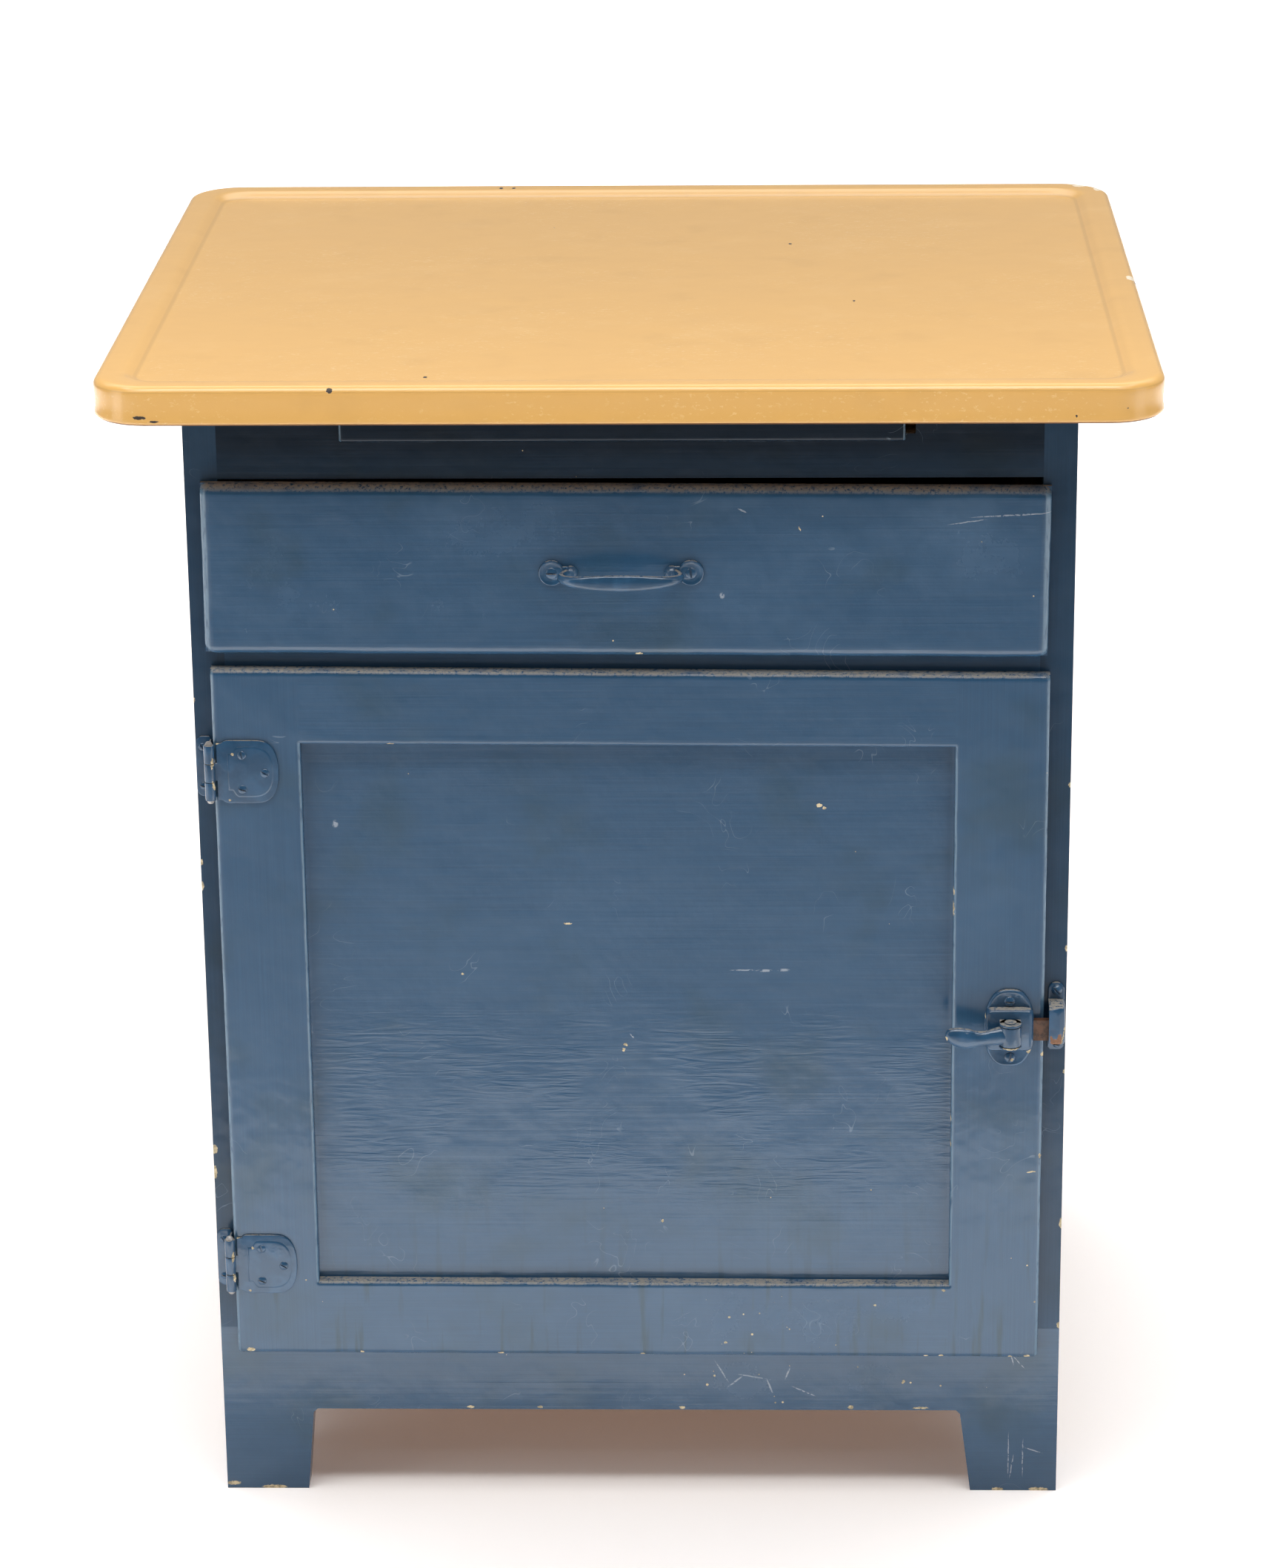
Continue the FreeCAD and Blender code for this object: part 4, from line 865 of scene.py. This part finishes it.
def loft(rings, cap_first=True, cap_last=True):
    """Vertices and faces of a skin through rings of points, all with the same count."""
    count = len(rings[0])
    faces = []
    for level in range(len(rings) - 1):
        a, b = level * count, (level + 1) * count
        for k in range(count):
            n = (k + 1) % count
            faces.append((a + k, a + n, b + n, b + k))
    if cap_first:
        faces.append(tuple(range(count))[::-1])
    if cap_last:
        faces.append(tuple((len(rings) - 1) * count + k for k in range(count)))
    return [p for ring in rings for p in ring], faces


def joined(*shapes):
    vertices, faces = [], []
    for points, polygons in shapes:
        first = len(vertices)
        vertices += points
        faces += [tuple(first + k for k in polygon) for polygon in polygons]
    return vertices, faces


def inset_outline(outline, amount):
    """Closed outline of (x, z) points, counter-clockwise, moved inwards by an amount."""
    moved = []
    count = len(outline)
    for k in range(count):
        before, here, after = (Vector(outline[(k + d) % count]) for d in (-1, 0, 1))
        a, b = (here - before).normalized(), (after - here).normalized()
        normal = Vector((-a.y - b.y, a.x + b.x))
        stretch = amount * 2.0 / max(0.5, normal.length_squared)
        moved.append(here + normal * stretch)
    return moved


def plate(outline, profile):
    """Plate in the plane of the front. profile lists (inset, y) from its back to its face."""
    rings = []
    for inset, y in profile:
        rings.append([(p.x, y, p.y) for p in inset_outline(outline, inset)])
    return loft(rings)


def turned(x, y, profile, sides=24):
    """Round shape about an upright axis. profile lists (radius, z) from the bottom up."""
    return loft([[(*around(x, y, radius, a), z) for a in turn_angles(sides)] for radius, z in profile])


def disc(x, z, profile, sides=40):
    """Round shape about an axis that points to the front. profile lists (radius, y) from back to face."""
    rings = []
    for radius, y in profile:
        places = [around(x, z, radius, a) for a in turn_angles(sides)]
        rings.append([(px, y, pz) for px, pz in places])
    return loft(rings)


def block(x, y, z, soft=0.5):
    """Bar with softened long edges, from (low, high) pairs."""
    rings = []
    for inset, at in ((soft, z[0]), (0.0, z[0] + soft), (0.0, z[1] - soft), (soft, z[1])):
        x0, x1, y0, y1 = x[0] + inset, x[1] - inset, y[0] + inset, y[1] - inset
        rings.append([(x0, y0, at), (x1, y0, at), (x1, y1, at), (x0, y1, at)])
    return loft(rings)


def screw_head(x, face, z, radius, rise, turn):
    """Domed head with a cut slot, turned in degrees about Y. Rows run along the slot for crisp walls."""
    half_slot, blend = 0.13 * radius, 0.1
    reach = [half_slot, half_slot + blend] + [radius * r for r in (0.34, 0.52, 0.7, 0.84, 0.93, 0.98, 0.999)]
    offsets = [-r for r in reversed(reach)] + [0.0] + reach
    sine, cosine = math.sin(math.radians(turn)), math.cos(math.radians(turn))
    steps = 12
    points = []
    for across in offsets:
        half = math.sqrt(radius * radius - across * across)
        for step in range(steps + 1):
            length = half * math.sin(math.pi * (step / steps - 0.5))
            fall = (across * across + length * length) / (radius * radius)
            out = rise * max(0.0, 1.0 - fall) ** 0.7
            if abs(across) <= half_slot + 1e-6:
                out = min(out, 0.35 * rise) - 0.25
            px, pz = x + length * cosine + across * sine, z - length * sine + across * cosine
            points.append((px, face - out, pz))
    return relief(points, steps + 1, face + 0.8)


def smooth_stations(stations, between):
    """Rows of numbers, filled in with a Catmull-Rom curve through them."""
    result = []
    last = len(stations) - 1
    for k in range(last):
        p0, p1, p2, p3 = (stations[min(max(k + d, 0), last)] for d in (-1, 0, 1, 2))
        for step in range(between):
            t = step / between
            row = []
            for a, b, c, d in zip(p0, p1, p2, p3):
                curve = 2 * a - 5 * b + 4 * c - d + t * (3 * b - 3 * c + d - a)
                row.append(b + 0.5 * t * (c - a + t * curve))
            result.append(row)
    return result + [list(stations[last])]


def leaf_outline(left, right, half, straight, pinch):
    """Outline of a hinge leaf: straight at the knuckle, and a bulging arc on the far side."""
    points = [(left, -half + pinch), (left + 3.2, -half + pinch)]
    points += [(left + 5.0, -half + 0.35 * pinch), (left + 7.0, -half)]
    for k in range(25):
        angle = math.radians(-90.0 + 7.5 * k)
        c, s = math.cos(angle), math.sin(angle)
        x = straight + (right - straight) * max(0.0, c) ** 0.66
        points.append((x, math.copysign(half * abs(s) ** 0.86, s)))
    points += [(x, -z) for x, z in points[3::-1]]
    return points


def shifted(outline, rise):
    return [(x, z + rise) for x, z in outline]


def barrel(centre, part):
    low = centre - KNUCKLE_H / 2 + part * KNUCKLE_H / 3 + 0.15
    high = low + KNUCKLE_H / 3 - 0.3
    r = KNUCKLE_R
    profile = [(1.9, low), (r - 0.6, low), (r - 0.15, low + 0.2), (r, low + 0.7)]
    profile += [(r, high - 0.7), (r - 0.15, high - 0.2), (r - 0.6, high), (1.9, high)]
    return turned(*PIN, profile)


def paint_over(node, body, material, *shapes, crease=40.0):
    """Painted piece of hardware that stands for a CAD node."""
    add_piece("painted_" + node, *joined(*shapes), material, body, "blue_painted_metal", node, crease=crease)


def add_hinge(name, centre, material):
    leaf = plate(
        shifted(leaf_outline(-289.0, -246.0, 23.0, -264.0, 2.2), centre),
        [(0, -276.0), (0, -277.0), (0.25, -277.4), (0.9, -277.6)],
    )
    pad = plate(
        shifted(leaf_outline(-281.5, -249.6, 18.6, -266.0, 5.0), centre),
        [(0, -277.2), (0.1, -277.65), (0.6, -278.0), (1.6, -278.15)],
    )
    low, high = centre - KNUCKLE_H / 6 + 0.2, centre + KNUCKLE_H / 6 - 0.2
    bridge = block((PIN[0] + 1.0, -286.0), (-277.5, -276.1), (low, high))
    paint_over(name + "_door_leaf", "door", material, leaf, pad, bridge, barrel(centre, 1))
    half = 22.2
    corners = []
    for x, z, radius, start in (
        (-299.3, 5.5 - half, 5.5, 180.0),
        (-296.0, 2.5 - half, 2.5, 270.0),
        (-296.0, half - 2.5, 2.5, 0.0),
        (-299.3, half - 5.5, 5.5, 90.0),
    ):
        corners += [around(x, z, radius, math.radians(start + 15.0 * step)) for step in range(7)]
    shapes = [plate(shifted(corners, centre), [(0, -264.0), (0, -265.0), (0.3, -265.35), (0.9, -265.5)])]
    for part in (0, 2):
        low = centre - KNUCKLE_H / 2 + part * KNUCKLE_H / 3 + 0.25
        shapes.append(block((-295.0, -292.9), (-277.5, -264.4), (low, low + KNUCKLE_H / 3 - 0.5)))
        shapes.append(barrel(centre, part))
    paint_over(name + "_frame_leaf", "cabinet", material, *shapes)


def squared_oval(x, z, half_x, half_z, power_x, power_z):
    """Closed outline between an ellipse, at powers of 1, and a rectangle, at powers of 0."""
    outline = []
    for angle in turn_angles(64):
        c, s = math.cos(angle), math.sin(angle)
        across = math.copysign(half_x * abs(c) ** power_x, c)
        outline.append((x + across, z + math.copysign(half_z * abs(s) ** power_z, s)))
    return outline


def add_latch(material):
    base = plate(
        squared_oval(264.2, 371.8, 17.7, 29.1, 0.74, 0.92),
        [(0, -276.0), (0, -277.2), (0.35, -278.0), (1.1, -278.5), (1.9, -278.5), (2.7, -278.25)],
    )
    cover = plate(
        squared_oval(264.2, 372.3, 17.0, 15.9, 0.24, 0.24),
        [(0, -277.5), (0.05, -281.0), (0.5, -282.9), (1.5, -284.1), (3.0, -284.5)],
    )
    ears = []
    for low, high in ((362.9, 364.4), (379.7, 381.2)):
        rim = [(5.0, low), (7.6, low), (7.9, low + 0.4), (7.9, high - 0.4), (7.6, high), (5.0, high)]
        ears.append(turned(264.4, -291.0, rim, 32))
        ears.append(block((256.6, 272.2), (-291.0, -283.5), (low, high), 0.3))
    paint_over("latch_case", "door", material, base, cover, *ears, crease=35.0)

    stations = [
        (264.0, -291.6, 372.0, 6.3, 6.9),
        (258.0, -292.0, 372.0, 6.0, 6.9),
        (252.5, -293.0, 371.5, 5.0, 6.2),
        (246.5, -294.4, 370.9, 4.2, 5.5),
        (240.5, -295.4, 370.8, 4.1, 5.9),
        (234.0, -296.0, 371.2, 4.4, 7.5),
        (227.5, -296.1, 372.2, 4.4, 7.3),
        (223.0, -295.9, 373.0, 3.9, 5.9),
        (220.3, -295.7, 373.5, 2.9, 4.3),
        (218.9, -295.6, 373.7, 1.6, 2.4),
        (218.5, -295.6, 373.7, 0.3, 0.5),
    ]
    rings = []
    for x, y, z, half_y, half_z in smooth_stations(stations, 4):
        rings.append([(x, y + half_y * math.cos(a), z + half_z * math.sin(a)) for a in turn_angles(28)])
    profile = [(4.0, 364.7), (7.0, 364.7), (7.7, 365.2), (7.9, 366.2)]
    profile += [(7.9, 377.9), (7.7, 378.9), (7.0, 379.4), (4.0, 379.4)]
    boss = turned(264.4, -291.0, profile, 36)
    finger = block((262.9, 265.9), (-290.0, -278.2), (369.5, 374.5), 0.3)
    paint_over("latch_lever", "latch_lever", material, loft(rings), boss, finger)


def add_keeper(material):
    """Plate on the case edge, and a catch whose face is cut to a D by a curved bevel."""
    left, right, under = 291.8, 303.4, 351.0
    outline = [(left, under + 2.0), (left + 2.0, under), (right - 2.0, under), (right, under + 2.0)]
    outline += [around(297.6, 396.1, 5.8, math.radians(15.0 * k)) for k in range(13)]
    base = plate(outline, [(0, -264.0), (0, -265.7), (0.3, -266.3), (0.9, -266.5)])

    def side(half_x, half_z, power, middle):
        points = []
        for k in range(33):
            a = math.pi * k / 32 - math.pi / 2
            c, s = math.cos(a), math.sin(a)
            x = left + half_x * max(0.0, c) ** power
            points.append((x, middle + math.copysign(half_z * abs(s) ** power, s)))
        return points

    rings = []
    for half_x, half_z, power, middle, y in (
        (11.5, 15.2, 0.10, 374.6, -266.0),
        (11.5, 14.6, 0.12, 374.9, -272.0),
        (11.4, 14.0, 0.14, 375.0, -281.2),
        (11.0, 13.7, 0.18, 375.2, -282.4),
        (7.9, 12.9, 0.80, 375.2, -284.4),
        (7.3, 12.3, 0.82, 375.2, -284.5),
    ):
        rings.append([(px, y, pz) for px, pz in side(half_x, half_z, power, middle)])
    paint_over("latch_keeper", "cabinet", material, base, loft(rings), crease=30.0)


def add_pull(material):
    """Bowed grip on two round feet with raised rims and short tabs."""
    middle, z = -6.0, 707.2
    half = [(34.6, 0.2, 3.1, 2.9), (38.2, 4.0, 2.9, 2.8), (40.3, 9.0, 2.9, 2.8), (40.3, 14.0, 3.1, 2.8)]
    half += [(37.2, 18.8, 3.4, 2.8), (31.5, 22.3, 3.9, 2.7), (24.0, 24.4, 4.6, 2.6), (15.0, 25.5, 5.3, 2.6)]
    half += [(7.0, 25.9, 5.6, 2.6)]
    stations = [(middle - a, DOOR_FACE - out, hz, hy) for a, out, hz, hy in half]
    stations += [(middle, DOOR_FACE - 26.0, 5.7, 2.6)]
    stations += [(middle + a, DOOR_FACE - out, hz, hy) for a, out, hz, hy in reversed(half)]
    path = smooth_stations(stations, 4)
    rings = []
    for k, (cx, cy, half_z, half_y) in enumerate(path):
        before, after = path[max(k - 1, 0)], path[min(k + 1, len(path) - 1)]
        tangent = Vector((after[0] - before[0], after[1] - before[1])).normalized()
        normal = Vector((tangent.y, -tangent.x))
        ring = []
        for angle in turn_angles(24):
            across = half_y * math.cos(angle)
            ring.append((cx + normal.x * across, cy + normal.y * across, z + half_z * math.sin(angle)))
        rings.append(ring)
    shapes = [loft(rings)]
    for foot_x, root_x in ((-53.7, middle - 34.6), (41.7, middle + 34.6)):
        profile = [(9.0, -276.0), (9.0, -277.0), (8.75, -277.75), (8.2, -278.1), (7.5, -278.0)]
        profile += [(6.7, -277.6), (5.5, -277.45)]
        shapes.append(disc(foot_x, z, profile))
        low, high = sorted((foot_x, root_x))
        tab = [(low, z - 4.6), (high, z - 4.6), (high + 2.6, z - 2.9), (high + 3.6, z)]
        tab += [(high + 2.6, z + 2.9), (high, z + 4.6), (low, z + 4.6)]
        if foot_x > root_x:
            tab = [(low + high - tx, tz) for tx, tz in reversed(tab)]
        shapes.append(plate(tab, [(0, -276.0), (0, -277.2), (0.5, -277.7), (1.4, -277.95)]))
        shapes.append(disc(root_x, z, [(5.2, -276.4), (4.7, -277.9), (3.7, -279.0), (2.6, -280.0)], 24))
    paint_over("drawer_pull", "drawer", material, *shapes, crease=35.0)


def add_screws(material):
    frame_screws, leaf_screws = [], []
    for centre in HINGE_Z.values():
        for offset, turn in ((14.4, 60.0), (-14.4, 15.0)):
            frame_screws.append((-300.0, -265.4, centre + offset, 2.9, 1.2, turn))
        for x, offset, turn in ((-271.3, 12.4, 80.0), (-255.5, -0.7, 30.0), (-271.5, -12.7, 20.0)):
            leaf_screws.append((x, -278.2, centre + offset, 3.2, 1.2, turn))
    latch = [(264.2, -278.4, 392.2, 3.9, 1.7, 0.0), (264.9, -278.4, 349.6, 3.9, 1.7, 105.0)]
    keeper = [(298.0, -266.4, 396.4, 4.0, 3.0, 45.0), (298.4, -266.4, 355.0, 2.6, 1.4, 10.0)]
    pull = [(-53.7, -277.4, 707.2, 4.2, 1.6, 0.0), (41.7, -277.4, 707.2, 4.2, 1.6, 85.0)]
    for name, screws, body in (
        ("frame_leaf_screws", frame_screws, "cabinet"),
        ("door_leaf_screws", leaf_screws, "door"),
        ("latch_screws", latch, "door"),
        ("keeper_screws", keeper, "cabinet"),
        ("pull_screws", pull, "drawer"),
    ):
        paint_over(name, body, material, *(screw_head(*screw) for screw in screws), crease=38.0)


# Assembly

set_camera()
set_studio()
add_floor()

# Painted shade: above 170 mm the case paint is 40 percent darker, ramping up from 100 mm, for the shade the
# proud door casts on the case edges beside it.
paint_case = blue_wood("paint_case", "z", 0.30, CASE_CHIPS, painted_shade=(100.0, 170.0, 0.40), gloss=0.3)
# Painted shade: the rails and the strip darken by up to 82 percent from 740 mm to 800 mm up, for the shade
# under the overhang of the enamel top.
paint_rails = blue_wood("paint_rails", "x", 0.30, painted_shade=(740.0, 800.0, 0.82), gloss=0.25)
paint_apron = blue_wood(
    "paint_apron", "x", 0.30, APRON_CHIPS + CASE_CHIPS, APRON_SCRATCHES, APRON_RUBBED, APRON_FLAKED
)
paint_stile = blue_wood("paint_stile", "z", 0.25, DOOR_CHIPS, flaked=DOOR_FLAKED, runs=0.8)
paint_door_rail = blue_wood("paint_door_rail", "x", 0.30, DOOR_CHIPS, (), DOOR_RUBBED, DOOR_FLAKED, runs=0.8)
paint_panel = blue_wood(
    "paint_panel", "x", 0.20, PANEL_CHIPS, PANEL_SCRATCHES, ripples=(215.0, 400.0), runs=0.5
)
paint_drawer = blue_wood("paint_drawer", "x", 0.50, DRAWER_CHIPS, DRAWER_SCRATCHES, DRAWER_RUBBED)
paint_metal = blue_metal()

SLOT_MATERIALS = {
    "blue_painted_wood": paint_case,
    "blue_painted_metal": paint_metal,
    "bare_wood": bare_wood("bare_wood", "y"),
    "yellow_enamel": enamel(),
    "zinc_sheet": zinc(),
    "cork_board": cork(),
    "plain_steel": iron("plain_steel", (0.20, 0.19, 0.18), (0.42, 0.41, 0.40), 0.9),
    "rusty_iron": iron("rusty_iron", (0.085, 0.034, 0.014), (0.030, 0.016, 0.010), 0.2),
    "gasket_rubber": rubber(),
}
for node in NODES.values():
    old = node.data.materials[0].name
    node.data.materials[0] = SLOT_MATERIALS[old]
for grain, names in (
    ("x", ("drawer_back", "core_board", "pull_out_board")),
    ("z", ("back_panel", "opening_frame")),
):
    wood = bare_wood("bare_wood_" + grain, grain)
    for name in names:
        NODES[name].data.materials[0] = wood
NODES["base_apron"].data.materials[0] = paint_apron
for name in ("top_rail", "middle_rail"):
    NODES[name].data.materials[0] = paint_rails

add_enamel_top(SLOT_MATERIALS["yellow_enamel"])
add_door(paint_stile, paint_door_rail, paint_panel)
add_drawer_front(paint_drawer)
add_strip(paint_rails)
for hinge, middle in HINGE_Z.items():
    add_hinge(hinge, middle, paint_metal)
add_latch(paint_metal)
add_keeper(paint_metal)
add_pull(paint_metal)
add_screws(paint_metal)
